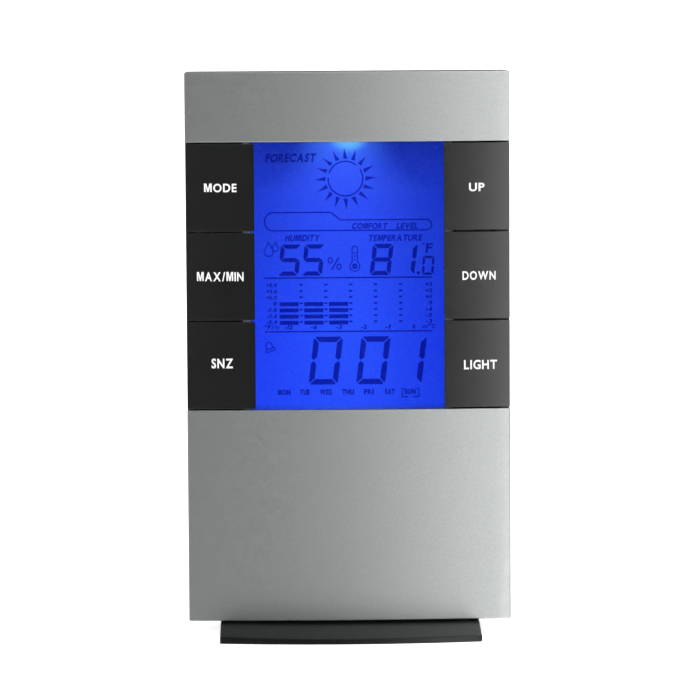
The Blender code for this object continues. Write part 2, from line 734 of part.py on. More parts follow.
# ---------------------------------------------------------------- display
def make_display(finishes):
    """The display stack in its holder, the strip that connects it and the lamp that lights it."""
    holder = box(
        "lcd_holder",
        (-WINDOW_HALF + GAP, WINDOW_HALF - GAP),
        (deep(4.5 * MM), deep(BOARD_FRONT - GAP)),
        (WINDOW_FOOT_Z + 1.1 * MM, WINDOW_TOP_Z - 0.9 * MM),
        finishes["white"],
    )
    ribs = [
        (add_box, (-18 * MM, 18 * MM), (deep(3.5 * MM), deep(5.0 * MM)), z)
        for z in (
            (WINDOW_FOOT_Z + 1.2 * MM, WINDOW_FOOT_Z + 2.4 * MM),
            (WINDOW_TOP_Z - 2.2 * MM, WINDOW_TOP_Z - 1.0 * MM),
        )
    ]
    join(holder, shapes("holder_ribs", *ribs))
    cut(
        holder,
        box(
            "holder_inside",
            (-23.3 * MM, 23.3 * MM),
            (deep(3.0 * MM), deep(BOARD_FRONT + OVERRUN)),
            (ZONE_FOOT_Z - 3.8 * MM, ZONE_TOP_Z + 0.7 * MM),
        ),
        cylinder(
            "holder_led_hole",
            (0, deep(LED_DEPTH), ZONE_TOP_Z),
            (0, deep(LED_DEPTH), ZONE_TOP_Z + 4.0 * MM),
            1.8 * MM,
        ),
    )
    half = 23.0 * MM
    top = ZONE_TOP_Z + 0.4 * MM
    low = ZONE_FOOT_Z - 0.4 * MM
    ledge = ZONE_FOOT_Z - 3.5 * MM
    for name, finish, start, end, foot in (
        ("lcd_front_polariser", "film", 4.55, 4.75, low),
        ("lcd_front_glass", "glass", 4.85, 5.65, ledge),
        ("lcd_rear_glass", "glass", 5.75, 6.5, low),
        ("lcd_rear_polariser", "film", 6.6, 6.8, low),
        ("light_guide", "acrylic", 6.9, 9.3, low),
        ("reflector_sheet", "white", 9.4, 9.6, low),
    ):
        box(name, (-half, half), (deep(start * MM), deep(end * MM)), (foot, top), finishes[finish])
    box(
        "zebra_strip",
        (-21.5 * MM, 21.5 * MM),
        (deep(5.8 * MM), deep(BOARD_FRONT - SHEET_GAP)),
        (ZONE_FOOT_Z - 3.3 * MM, ZONE_FOOT_Z - 0.9 * MM),
        finishes["rubber"],
    )
    tip = ZONE_TOP_Z + 0.6 * MM
    dome = [(1.5 * MM * math.sin(a), 1.5 * MM * (1 - math.cos(a))) for a in (0, 0.4, 0.8, 1.2, math.pi / 2)]
    led = turned(
        "backlight_led",
        [*dome, (1.5 * MM, 4.0 * MM), (1.75 * MM, 4.0 * MM), (1.75 * MM, 5.0 * MM), (0, 5.0 * MM)],
        (0, deep(LED_DEPTH), tip),
        (0, 0, 1),
        finishes["blue_led"],
    )
    for side in (-1, 1):
        leg = [
            (deep(LED_DEPTH - 0.25 * MM), tip + 4.7 * MM),
            (deep(LED_DEPTH + 0.25 * MM), tip + 4.7 * MM),
            (deep(LED_DEPTH + 0.25 * MM), tip + 5.4 * MM),
            (deep(BOARD_FRONT - SHEET_GAP), tip + 5.4 * MM),
            (deep(BOARD_FRONT - SHEET_GAP), tip + 5.9 * MM),
            (deep(LED_DEPTH - 0.25 * MM), tip + 5.9 * MM),
        ]
        span = sorted((side * 1.0 * MM, side * 1.5 * MM))
        join(led, extruded("led_leg", leg, span, along="X"))


# ---------------------------------------------------------------- circuit board
def make_board(finishes):
    """Circuit board with the controller, sensors, buzzer and one tact switch under each key."""
    board = box(
        "circuit_board",
        (-BOARD_HALF, BOARD_HALF),
        (deep(BOARD_FRONT), deep(BOARD_BACK)),
        BOARD_Z,
        finishes["board"],
    )
    places = board_screw_places()
    holes = [post(x, z, 10.0 * MM, 13.0 * MM, 1.1 * MM) for x, z in places]
    cut(board, shapes("board_holes", *holes))
    back = deep(BOARD_BACK + SHEET_GAP)
    for number, (x, z) in enumerate(places, 1):
        sizes = (1.9, 1.3, 0.8, 5.2)
        make_screw(f"board_screw_{number}", (x, back, z), (0, 1, 0), sizes, finishes["steel"])
    for name, side, row in KEYS:
        make_switch(name, side * POST_X, key_centre_z(row), finishes)
    blob = [(6.5, 0.0), (6.2, 0.5), (5.0, 1.1), (3.0, 1.5), (0.0, 1.65)]
    turned(
        "controller_blob",
        [(0, 0), *[(r * MM, h * MM) for r, h in blob]],
        (2.0 * MM, back, 82.0 * MM),
        (0, 1, 0),
        finishes["epoxy"],
    )
    can = ((15 * MM, back + 1.0 * MM, 72 * MM), (15 * MM, back + 1.0 * MM, 78 * MM))
    cylinder("crystal_can", *can, 1.0 * MM, finishes["steel"], segments=SMALL_ROUND)
    foot, top = (13 * MM, back, 62 * MM), (13 * MM, back + 7 * MM, 62 * MM)
    cylinder("capacitor", foot, top, 2.5 * MM, finishes["epoxy"])
    foot, top = (BUZZER_X, back, BUZZER_Z), (BUZZER_X, back + 6 * MM, BUZZER_Z)
    buzzer = cylinder("buzzer", foot, top, 6.0 * MM, finishes["epoxy"])
    mouth = ((BUZZER_X, back + 5 * MM, BUZZER_Z), (BUZZER_X, back + 8 * MM, BUZZER_Z))
    cut(buzzer, cylinder("buzzer_mouth", *mouth, 1.0 * MM, segments=SMALL_ROUND))
    cage_box = ((-12 * MM, -4 * MM), (back, back + 4 * MM), (96 * MM, 107 * MM))
    cage = box("humidity_sensor", *cage_box, finishes["white"])
    slots = [
        (add_box, (-11.2 * MM, -4.8 * MM), (back + 2.6 * MM, back + 5 * MM), (z, z + 1.2 * MM))
        for z in [(97.4 + 2.6 * slot) * MM for slot in range(4)]
    ]
    cut(cage, shapes("humidity_slots", *slots))
    angles = [math.pi * step / 6 for step in range(7)]
    ball = [(1.3 * MM * math.sin(a), 1.3 * MM * (1 - math.cos(a))) for a in angles]
    seat = (7 * MM, back + 3.4 * MM, 102 * MM)
    bead = turned("temperature_sensor", ball, seat, (0, 1, 0), finishes["epoxy"], SMALL_ROUND)
    for side in (-1, 1):
        x = 7 * MM + side * 0.6 * MM
        leg = ((x, back, 102 * MM), (x, back + 4.2 * MM, 102 * MM))
        join(bead, cylinder(f"thermistor_leg_{side}", *leg, 0.22 * MM, segments=6))


def make_switch(name, x, z, finishes):
    """Tact switch on the front of the board: a square body and the round plunger that moves with its key."""
    body = box(
        "switch_body_" + name,
        (x - 3 * MM, x + 3 * MM),
        (deep(6.9 * MM), deep(BOARD_FRONT - SHEET_GAP)),
        (z - 3 * MM, z + 3 * MM),
        finishes["epoxy"],
    )
    cut(body, shapes(f"switch_{name}_well", post(x, z, 6.0 * MM, 8.4 * MM, 1.9 * MM, SMALL_ROUND)))
    tip = (x, deep(PLUNGER_TIP), z)
    root = (x, deep(7.7 * MM), z)
    white = finishes["white"]
    cylinder("switch_plunger_" + name, tip, root, 1.6 * MM, white, tip, segments=SMALL_ROUND)


def make_screw(name, seat, axis, sizes, finish):
    """Pan-head screw with a cross recess, its head standing along axis from the seat.

    The sizes, in millimetres, are the head's radius and height and the shank's radius and length.
    """
    head, head_height, shank, length = sizes
    seat, axis = Vector(seat), Vector(axis)
    profile = [
        (0, -length),
        (shank * 0.5, -length),
        (shank, -length + 1.0),
        (shank, 0),
        (head, 0),
        (head, head_height * 0.6),
        (head * 0.75, head_height),
        (0, head_height),
    ]
    profile = [(radius * MM, height * MM) for radius, height in profile]
    screw = turned(name, profile, seat, axis, finish, segments=SMALL_ROUND)
    side = axis.orthogonal().normalized()
    middle = seat + axis * (head_height * MM)
    for arm in (side, axis.cross(side)):
        reach = arm * head * 0.6 * MM + axis.cross(arm) * 0.25 * MM + axis * 0.5 * MM
        slot = [sorted((middle[k] - reach[k], middle[k] + reach[k])) for k in range(3)]
        cut(screw, box(name + "_cross", *slot))


# ---------------------------------------------------------------- power
def make_power(finishes):
    """Two AAA cells in series, their contacts and springs, and the two leads to the board."""
    y = deep(CELL_DEPTH)
    nub, shoulder = 0.8 * MM, 0.4 * MM
    profile = [
        (0, 0),
        (CELL_RADIUS - shoulder, 0),
        (CELL_RADIUS, shoulder),
        (CELL_RADIUS, CELL_LENGTH - nub - shoulder),
        (CELL_RADIUS - shoulder, CELL_LENGTH - nub),
        (1.9 * MM, CELL_LENGTH - nub),
        (1.9 * MM, CELL_LENGTH),
        (0, CELL_LENGTH),
    ]
    plate_x = BAY_HALF - 0.5 * MM
    for name, z, towards in (("battery_upper", CELL_Z[1], -1), ("battery_lower", CELL_Z[0], 1)):
        base = towards * (plate_x - SHEET_GAP - CELL_LENGTH)
        turned(name, profile, (base, y, z), (towards, 0, 0), finishes["cell"])
        spring_x = (-towards * (plate_x - GAP - SPRING_WIRE), base - towards * (SHEET_GAP + SPRING_WIRE))
        spring_name = "link_spring" if towards < 0 else "negative_spring"
        wire(spring_name, coil(spring_x, y, z), SPRING_WIRE, finishes["steel"])
    thick, half = 0.4 * MM, 4.6 * MM
    for name, z in (("positive_contact", CELL_Z[1]), ("negative_contact", CELL_Z[0])):
        face = ((y - half, y + half), (z - half, z + half))
        plate = box(name, (-plate_x - thick, -plate_x), *face, finishes["steel"])
        tail = box(
            name + "_tail",
            (-BAY_HALF - BAY_WALL - 1.4 * MM, -plate_x - 0.1 * MM),
            (y - 1.2 * MM, y + 1.2 * MM),
            (z - 0.2 * MM, z + 0.2 * MM),
        )
        join(plate, tail)
    box(
        "link_contact",
        (plate_x, plate_x + thick),
        (y - half, y + half),
        (CELL_Z[0] - half, CELL_Z[1] + half),
        finishes["steel"],
    )
    tail_x = -BAY_HALF - BAY_WALL - 1.4 * MM - GAP
    board_y = deep(BOARD_BACK) + 1.0 * MM
    for name, finish, z, pad_x in (
        ("wire_red", "red", CELL_Z[1], -27.0 * MM),
        ("wire_black", "black_wire", CELL_Z[0], -31.5 * MM),
    ):
        route = [
            Vector((tail_x, y, z)),
            Vector((tail_x - 1.2 * MM, y, z + 0.4 * MM)),
            Vector((tail_x - 2.4 * MM, y, z + 2.8 * MM)),
            Vector((pad_x - 1.0 * MM, y - 1.0 * MM, (z + BOARD_Z[0]) / 2)),
            Vector((pad_x, board_y + 1.6 * MM, BOARD_Z[0] - 1.0 * MM)),
            Vector((pad_x, board_y, BOARD_Z[0] + 3.0 * MM)),
        ]
        wire(name, smooth_route(route), 0.6 * MM, finishes[finish])


def coil(x_span, y, z):
    """Points of a conical spring, wide at its plate and narrow at its cell."""
    turns, steps = 3.0, 10
    points = []
    for step in range(int(turns * steps) + 1):
        share = step / (turns * steps)
        radius = (3.6 - 1.6 * share) * MM
        angle = 2 * math.pi * step / steps
        x = x_span[0] + (x_span[1] - x_span[0]) * share
        points.append((x, y + radius * math.cos(angle), z + radius * math.sin(angle)))
    return points


def make_case_and_foot_screws(finishes):
    """Four long screws through the rear cover, and two that hold the foot."""
    number = 0
    for side in (-1, 1):
        for z in CASE_SCREW_Z:
            number += 1
            seat = (side * CASE_SCREW_X, deep(17.6 * MM) + SHEET_GAP, z)
            sizes = (2.2, 1.6, 1.05, 11.5)
            make_screw(f"case_screw_{number}", seat, (0, 1, 0), sizes, finishes["steel"])
    for number, side in enumerate((-1, 1), 1):
        seat = (side * FOOT_SCREW_X, deep(FOOT_SCREW_DEPTH), 1.7 * MM - SHEET_GAP)
        sizes = (2.2, 1.3, 1.0, 8.6)
        make_screw(f"foot_screw_{number}", seat, (0, 0, -1), sizes, finishes["steel"])


clear_scene()
station = new_collection("weather_station")
helpers = new_collection("helpers")
FINISHES = {
    "silver": material("silver_paint", (0.42, 0.44, 0.45), 0.42, 0.6),
    "black": material("black_plastic", (0.035, 0.038, 0.038), 0.55),
    "clear": material("clear_lens", (0.75, 0.8, 0.9), 0.05),
    "glass": material("display_glass", (0.05, 0.12, 0.9), 0.1),
    "film": material("polariser_film", (0.04, 0.08, 0.5), 0.3),
    "acrylic": material("light_guide_acrylic", (0.8, 0.85, 0.95), 0.15),
    "white": material("white_plastic", (0.8, 0.8, 0.78), 0.5),
    "rubber": material("zebra_rubber", (0.9, 0.5, 0.6), 0.7),
    "blue_led": material("blue_led", (0.2, 0.4, 1.0), 0.2),
    "board": material("green_board", (0.03, 0.2, 0.08), 0.45),
    "epoxy": material("black_epoxy", (0.02, 0.02, 0.02), 0.3),
    "steel": material("plated_steel", (0.6, 0.6, 0.58), 0.3, 1.0),
    "cell": material("cell_sleeve", (0.25, 0.3, 0.35), 0.35, 0.3),
    "red": material("red_insulation", (0.6, 0.02, 0.02), 0.5),
    "black_wire": material("black_insulation", (0.02, 0.02, 0.02), 0.5),
}
make_front_shell(FINISHES["silver"])
make_rear_cover(FINISHES["black"])
make_foot_plate(FINISHES["black"])
make_battery_door(FINISHES["black"])
make_display_lens(FINISHES["clear"])
for key_name, key_side, key_row in KEYS:
    make_key(key_name, key_side, key_row, FINISHES["black"])
make_display(FINISHES)
make_board(FINISHES)
make_power(FINISHES)
make_case_and_foot_screws(FINISHES)
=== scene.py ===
import json
import math

import bmesh
import bpy
from mathutils import Matrix, Vector

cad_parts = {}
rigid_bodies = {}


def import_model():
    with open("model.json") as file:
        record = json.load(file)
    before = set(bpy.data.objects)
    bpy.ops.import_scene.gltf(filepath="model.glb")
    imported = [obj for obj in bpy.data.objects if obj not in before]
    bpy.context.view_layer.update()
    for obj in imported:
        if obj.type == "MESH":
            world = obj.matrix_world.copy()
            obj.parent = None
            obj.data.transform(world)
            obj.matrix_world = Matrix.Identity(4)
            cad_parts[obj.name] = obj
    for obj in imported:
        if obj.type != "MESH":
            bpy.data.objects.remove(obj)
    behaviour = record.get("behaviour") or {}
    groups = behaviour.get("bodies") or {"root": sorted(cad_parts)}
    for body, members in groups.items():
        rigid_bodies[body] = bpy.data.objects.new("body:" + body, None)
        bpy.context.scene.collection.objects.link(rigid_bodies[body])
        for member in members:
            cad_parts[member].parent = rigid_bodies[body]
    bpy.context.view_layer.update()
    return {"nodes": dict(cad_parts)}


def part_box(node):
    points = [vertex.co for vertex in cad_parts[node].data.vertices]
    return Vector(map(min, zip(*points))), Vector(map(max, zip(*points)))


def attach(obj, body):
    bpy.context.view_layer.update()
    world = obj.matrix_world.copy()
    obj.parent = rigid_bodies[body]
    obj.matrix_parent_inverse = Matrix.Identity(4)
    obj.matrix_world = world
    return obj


for leftover in list(bpy.data.objects):
    bpy.data.objects.remove(leftover)
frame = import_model()

# ---------------------------------------------------------------- camera
# A long lens about 0.9 m in front of the station, a little to the left of it and just above its top,
# looking five degrees down.
CAMERA_PLACE = Vector((-0.01639, -0.88554, 0.14518))
CAMERA_YAW, CAMERA_PITCH, CAMERA_ROLL = (math.radians(turn) for turn in (1.087, 4.975, -0.338))

ahead = Vector((
    math.sin(CAMERA_YAW) * math.cos(CAMERA_PITCH),
    math.cos(CAMERA_YAW) * math.cos(CAMERA_PITCH),
    -math.sin(CAMERA_PITCH),
))
level = Vector((math.cos(CAMERA_YAW), -math.sin(CAMERA_YAW), 0.0))
upright = level.cross(ahead)
right_hand = math.cos(CAMERA_ROLL) * level + math.sin(CAMERA_ROLL) * upright
overhead = math.cos(CAMERA_ROLL) * upright - math.sin(CAMERA_ROLL) * level
optics = bpy.data.cameras.new("camera")
optics.lens, optics.sensor_width = 191.37, 36.0
optics.clip_start, optics.clip_end = 0.01, 100.0
camera = bpy.data.objects.new("camera", optics)
bpy.context.scene.collection.objects.link(camera)
camera.matrix_world = (
    Matrix.Translation(CAMERA_PLACE) @ Matrix((right_hand, overhead, -ahead)).transposed().to_4x4()
)
bpy.context.scene.camera = camera
bpy.context.scene.view_settings.view_transform = "Standard"

# ---------------------------------------------------------------- front shell
# One ABS moulding: top band, lower panel, thin side walls and the deck behind the keys. It is sprayed
# with a fine silver metallic paint, flakes a sixth of a millimetre across under a thin satin varnish.
MM = 0.001
SILVER = (0.370, 0.385, 0.382)
FLAKE_ACROSS = 0.17 * MM
# Painted shade: deep in the bay behind the keys the silver fades to a near-black, unmetallic colour over
# these depths, between these heights, standing in for the shade that falls in the gaps between the keys.
BAY_SHADE_DEPTHS, KEY_BAY = (-3.9 * MM, -2.9 * MM), (54.3 * MM, 117.9 * MM)
BAY_SHADE_BLACK = (0.012, 0.012, 0.013)


def blank_finish(name):
    """A finish with one bare shader, as its node tree and that shader."""
    finish = bpy.data.materials.new(name)
    finish.use_nodes = True
    tree = finish.node_tree
    tree.nodes.clear()
    shader = tree.nodes.new("ShaderNodeBsdfPrincipled")
    output = tree.nodes.new("ShaderNodeOutputMaterial")
    tree.links.new(shader.outputs["BSDF"], output.inputs["Surface"])
    return finish, tree, shader


def add(tree, kind, values=(), **settings):
    """One node. values gives its inputs by name or number, as numbers or as other nodes' outputs."""
    made = tree.nodes.new("ShaderNode" + kind)
    for setting, value in settings.items():
        setattr(made, setting, value)
    for key, value in dict(values).items():
        if isinstance(value, bpy.types.NodeSocket):
            tree.links.new(value, made.inputs[key])
        else:
            made.inputs[key].default_value = value
    return made


def place_on(tree):
    """The point on the piece, in metres."""
    return add(tree, "TexCoord").outputs["Object"]


def grain(tree, across, detail=2.0, roughness=0.5, stretch=(1, 1, 1)):
    """Noise whose grains are this far across; a stretch below one draws them out along that axis."""
    point = add(tree, "Mapping", {"Vector": place_on(tree), "Scale": stretch}).outputs[0]
    values = {"Vector": point, "Scale": 1 / across, "Detail": detail, "Roughness": roughness}
    return add(tree, "TexNoise", values).outputs["Fac"]


def reckon(tree, operation, *terms):
    """The result of one sum on numbers or on other nodes' outputs."""
    return add(tree, "Math", dict(enumerate(terms)), operation=operation).outputs[0]


def between(tree, share, low, high, start=0.3, end=0.7):
    """A number that goes from low to high as share goes from start to end."""
    values = {"Value": share, "From Min": start, "From Max": end, "To Min": low, "To Max": high}
    return add(tree, "MapRange", values).outputs[0]


def blend_of(tree, share, first, second, blend="MIX"):
    """Two colours mixed by share."""
    mixed = add(tree, "Mix", {0: share}, data_type="RGBA", blend_type=blend)
    for place, colour in ((6, first), (7, second)):
        if isinstance(colour, bpy.types.NodeSocket):
            tree.links.new(colour, mixed.inputs[place])
        else:
            mixed.inputs[place].default_value = (*colour, 1.0)
    return mixed.outputs[2]


def relief(tree, height, depth, strength=1.0, under=None):
    """A normal that follows height, in metres from its lowest to its highest."""
    values = {"Height": height, "Distance": depth, "Strength": strength}
    if under is not None:
        values["Normal"] = under
    return add(tree, "Bump", values).outputs[0]


def join_up(tree, shader, **sockets):
    """Links or sets the shader's sockets, named with _ for a space."""
    for name, value in sockets.items():
        socket = shader.inputs[name.replace("_", " ")]
        if isinstance(value, bpy.types.NodeSocket):
            tree.links.new(value, socket)
        else:
            socket.default_value = value


def silver_paint():
    finish, tree, shader = blank_finish("silver_paint")
    flakes = add(tree, "TexVoronoi", {"Vector": place_on(tree), "Scale": 1 / FLAKE_ACROSS})
    glint = add(tree, "SeparateColor", {"Color": flakes.outputs["Color"]}).outputs[0]
    cloud = grain(tree, 0.9 * MM, detail=4)
    drift = grain(tree, 14 * MM)
    body = blend_of(
        tree, between(tree, glint, 0, 1, 0, 1), [0.92 * v for v in SILVER], [1.08 * v for v in SILVER]
    )
    body = blend_of(tree, between(tree, cloud, 0, 0.12), body, [0.8 * v for v in SILVER])
    body = blend_of(tree, between(tree, drift, 0, 0.05), body, [1.3 * v for v in SILVER])
    _, y, z = add(tree, "SeparateXYZ", {0: place_on(tree)}).outputs
    # Painted shade: near-black and not metallic deep in the key bay, for the shade in the gaps between the
    # keys.
    bay_shade = between(tree, y, 0, 1, *BAY_SHADE_DEPTHS)
    for height, ways in ((KEY_BAY[0], (0, 1)), (KEY_BAY[1], (1, 0))):
        inside = between(tree, z, *ways, height - 0.1 * MM, height + 0.1 * MM)
        bay_shade = reckon(tree, "MULTIPLY", bay_shade, inside)
    body = blend_of(tree, bay_shade, body, BAY_SHADE_BLACK)
    flat = relief(tree, glint, 0.002 * MM, 0.3)
    join_up(
        tree, shader, Base_Color=body, Metallic=between(tree, bay_shade, 0.92, 0, 0, 1),
        Normal=relief(tree, cloud, 0.004 * MM, 0.4, flat),
        Roughness=between(tree, cloud, 0.34, 0.40), Coat_Weight=0.12, Coat_Roughness=0.3,
    )
    return finish


def one_skin():
    """Geometry nodes that join the moulding's split corners into one skin that shades as one."""
    group = bpy.data.node_groups.new("one_skin", "GeometryNodeTree")
    for way in ("INPUT", "OUTPUT"):
        group.interface.new_socket("Geometry", in_out=way, socket_type="NodeSocketGeometry")
    last = group.nodes.new("NodeGroupInput").outputs[0]
    for kind, value in (
        ("RemoveAttribute", "custom_normal"), ("RemoveAttribute", "sharp_edge"),
        ("RemoveAttribute", "sharp_face"), ("MergeByDistance", 0.004 * MM), ("SetShadeSmooth", None),
    ):
        step = group.nodes.new("GeometryNode" + kind)
        group.links.new(last, step.inputs[0])
        if kind == "RemoveAttribute":
            step.inputs["Name"].default_value = value
        if kind == "MergeByDistance":
            step.inputs["Distance"].default_value = value
        last = step.outputs[0]
    group.links.new(last, group.nodes.new("NodeGroupOutput").inputs[0])
    return group


SKIN = one_skin()


def mould(name, finish, edge=0.0, steps=2):
    """Gives a CAD solid its finish, and rounds its edges as the mould does."""
    node = frame["nodes"][name]
    node.data.materials.clear()
    node.data.materials.append(finish)
    node.modifiers.new("skin", "NODES").node_group = SKIN
    if edge:
        rounded = node.modifiers.new("edges", "BEVEL")
        rounded.width, rounded.segments, rounded.limit_method = edge, steps, "ANGLE"
        rounded.angle_limit, rounded.use_clamp_overlap = math.radians(30), False
    else:
        split = node.modifiers.new("edges", "EDGE_SPLIT")
        split.split_angle = math.radians(30)
        return
    shading = node.modifiers.new("shading", "WEIGHTED_NORMAL")
    shading.mode, shading.weight = "FACE_AREA", 60


mould("front_shell", silver_paint(), 0.3 * MM)

# ---------------------------------------------------------------- rear cover
# Deep black ABS moulding with the battery bay, vents and wall keyhole. Its mould is spark-eroded, so the
# surface is an even matt grain; four screws hold it to the front shell.
COVER_BLACK = ((0.007, 0.0075, 0.008), (0.012, 0.0125, 0.013))


def matt_plastic(name, shades, across, depth, roughness, sheen=0.5, lift=0.012):
    """Moulded plastic with a spark-eroded grain: fine pits, glossier and darker in their floors."""
    finish, tree, shader = blank_finish(name)
    fine = grain(tree, across, detail=3, roughness=0.6)
    coarse = grain(tree, 6 * across, detail=2)
    cloud = grain(tree, 9 * MM)
    colour = blend_of(tree, between(tree, fine, 0, 1), *shades)
    colour = blend_of(tree, between(tree, cloud, 0, 0.35), colour, [v + lift for v in shades[1]])
    pits = relief(tree, fine, depth, 0.7, relief(tree, coarse, 1.5 * depth, 0.4))
    join_up(
        tree, shader, Base_Color=colour, Normal=pits, Specular_IOR_Level=sheen,
        Roughness=between(tree, fine, roughness - 0.07, roughness + 0.07),
    )
    return finish


cover_black = matt_plastic("cover_black", COVER_BLACK, 0.28 * MM, 0.02 * MM, 0.58, lift=0.004)
mould("rear_cover", cover_black, 0.2 * MM)

# ---------------------------------------------------------------- foot
# Flat black plate that plugs under the case and reaches forward of it. It is the same ABS as the rear
# cover with a finer grain, held by two screws from below.
FOOT_BLACK = ((0.0020, 0.0026, 0.0027), (0.0036, 0.0044, 0.0046))

foot_black = matt_plastic("foot_black", FOOT_BLACK, 0.2 * MM, 0.004 * MM, 0.3, 0.26, 0.002)
mould("foot_plate", foot_black, 0.3 * MM, 3)

RUBBER_GREY = ((0.030, 0.030, 0.032), (0.048, 0.048, 0.050))
PAD_SIZE = (11.0 * MM, 9.0 * MM, 1.5 * MM)
PAD_X, PAD_Y = (8.75 * MM, 21.75 * MM), 0.75 * MM
PAD_FOOT, PAD_CORNER, PAD_EDGE = 0.05 * MM, 1.2 * MM, 0.25 * MM


def rounded_slab(name, centre, size, corner, edge, finish):
    """A slab with rounded corners and softened edges."""
    bm = bmesh.new()
    half_x, half_y, half_z = (side / 2 for side in size)
    outline = [
        (
            centre[0] + sx * (half_x - corner) + corner * math.cos(math.radians(turn + step)),
            centre[1] + sy * (half_y - corner) + corner * math.sin(math.radians(turn + step)),
            centre[2] - half_z,
        )
        for sx, sy, turn in ((1, 1, 0), (-1, 1, 90), (-1, -1, 180), (1, -1, 270))
        for step in (0, 30, 60, 90)
    ]
    foot = bm.faces.new([bm.verts.new(point) for point in outline])
    grown = bmesh.ops.extrude_face_region(bm, geom=[foot])["geom"]
    raised = [part for part in grown if isinstance(part, bmesh.types.BMVert)]
    bmesh.ops.translate(bm, verts=raised, vec=(0, 0, size[2]))
    bmesh.ops.recalc_face_normals(bm, faces=bm.faces)
    mesh = bpy.data.meshes.new(name)
    bm.to_mesh(mesh)
    bm.free()
    mesh.shade_smooth()
    mesh.materials.append(finish)
    slab = bpy.data.objects.new(name, mesh)
    bpy.context.scene.collection.objects.link(slab)
    rounded = slab.modifiers.new("edges", "BEVEL")
    rounded.width, rounded.segments, rounded.angle_limit = edge, 3, math.radians(50)
    rounded.limit_method = "ANGLE"
    slab.modifiers.new("shading", "WEIGHTED_NORMAL").mode = "FACE_AREA"
    return slab


pad_rubber = matt_plastic("pad_rubber", RUBBER_GREY, 0.35 * MM, 0.02 * MM, 0.75, lift=0.01)
for place, pad_x in enumerate((-PAD_X[1], -PAD_X[0], PAD_X[0], PAD_X[1]), 1):
    pad = rounded_slab(
        f"foot_pad_{place}", (pad_x, PAD_Y, PAD_FOOT + PAD_SIZE[2] / 2), PAD_SIZE, PAD_CORNER, PAD_EDGE,
        pad_rubber,
    )
    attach(pad, "case")

# ---------------------------------------------------------------- keys
# Six ABS key caps set flush with the front, three down each side of the window. Each slides 0.4 mm on its
# legs and pushes its own switch; the names are white pad-printed ink, a fiftieth of a millimetre thick.
FRONT_RADIUS = 500 * MM
CROWN_Y = -5.5 * MM
INK = 0.02 * MM
# Word, left, right, foot and head on the front face, in millimetres.
KEY_WORDS = {
    "mode": ("MODE", -34.0, -26.3, 106.26, 108.12),
    "max_min": ("MAX/MIN", -35.87, -24.82, 85.15, 87.14),
    "snooze": ("SNZ", -32.59, -27.49, 64.42, 66.56),
    "up": ("UP", 28.75, 32.44, 106.10, 107.95),
    "down": ("DOWN", 27.13, 35.03, 85.07, 86.98),
    "light": ("LIGHT", 27.42, 35.31, 63.75, 65.80),
}

KEY_BLACK = ((0.0060, 0.0068, 0.0064), (0.0110, 0.0118, 0.0112))
KEY_WEIGHT = 0.025

key_black = matt_plastic("key_black", KEY_BLACK, 0.22 * MM, 0.002 * MM, 0.18, sheen=0.6, lift=0.003)


def white_ink():
    finish, tree, shader = blank_finish("white_ink")
    worn = grain(tree, 0.12 * MM, detail=3)
    colour = blend_of(tree, between(tree, worn, 0, 1), (0.70, 0.70, 0.70), (0.90, 0.90, 0.89))
    join_up(
        tree, shader, Base_Color=colour, Roughness=between(tree, worn, 0.45, 0.6),
        Normal=relief(tree, worn, 0.004 * MM, 0.5),
    )
    return finish


# Past these weights the small loops of a few signs would close on themselves.
HEAVIEST = {"R": 0.035, "3": 0.035, "8": 0.03, "i": 0.03, "m": 0.03, "n": 0.015}


def drawn_letter(sign, weight):
    """One sign of the built-in sans font, thickened by weight: its points and faces, from zero rightwards."""
    if sign == "M":
        stem, width, tall = 0.10 + 2 * weight, 0.72, 0.73
        points = [
            (0, 0), (stem, 0), (stem, 0.76 * tall), (width / 2 - stem / 2, 0), (width / 2 + stem / 2, 0),
            (width - stem, 0.76 * tall), (width - stem, 0), (width, 0), (width, tall),
            (width - 1.45 * stem, tall), (width / 2, 0.33 * tall), (1.45 * stem, tall), (0, tall),
        ]
        return points, [tuple(range(len(points)))]
    cut = bpy.data.curves.new("letter", "FONT")
    cut.body, cut.offset, cut.resolution_u = sign, min(weight, HEAVIEST.get(sign, weight)), 4
    holder = bpy.data.objects.new("letter", cut)
    bpy.context.scene.collection.objects.link(holder)
    bpy.context.view_layer.update()
    flat = bpy.data.meshes.new_from_object(holder.evaluated_get(bpy.context.evaluated_depsgraph_get()))
    left = min(p.co.x for p in flat.vertices)
    points = [(p.co.x - left, p.co.y) for p in flat.vertices]
    faces = [tuple(face.vertices) for face in flat.polygons]
    bpy.data.objects.remove(holder)
    bpy.data.curves.remove(cut)
    bpy.data.meshes.remove(flat)
    return points, faces


CAPITAL_HEIGHT = max(v for u, v in drawn_letter("H", 0.0)[0])
LETTERS = {}


def word(text, left, right, foot, head, weight, lean=0.0, spacing=0.13):
    """A word fitted to that box, as patches of a flat drawing: (points, faces) for each of its letters.
    lean is the sideways shift for each unit of height."""
    letters, pen = [], 0.0
    for sign in text:
        if sign == " ":
            pen += 0.4
            continue
        if (sign, weight) not in LETTERS:
            LETTERS[sign, weight] = drawn_letter(sign, weight)
        points, faces = LETTERS[sign, weight]
        letters.append(([(pen + u + lean * v, v) for u, v in points], faces))
        pen += max(u for u, v in points) + spacing
    low = min(u for points, _ in letters for u, v in points)
    high = max(u for points, _ in letters for u, v in points)
    wide, tall = (right - left) / (high - low), (head - foot) / CAPITAL_HEIGHT
    return [
        ([(left + (u - low) * wide, foot + v * tall) for u, v in points], faces) for points, faces in letters
    ]


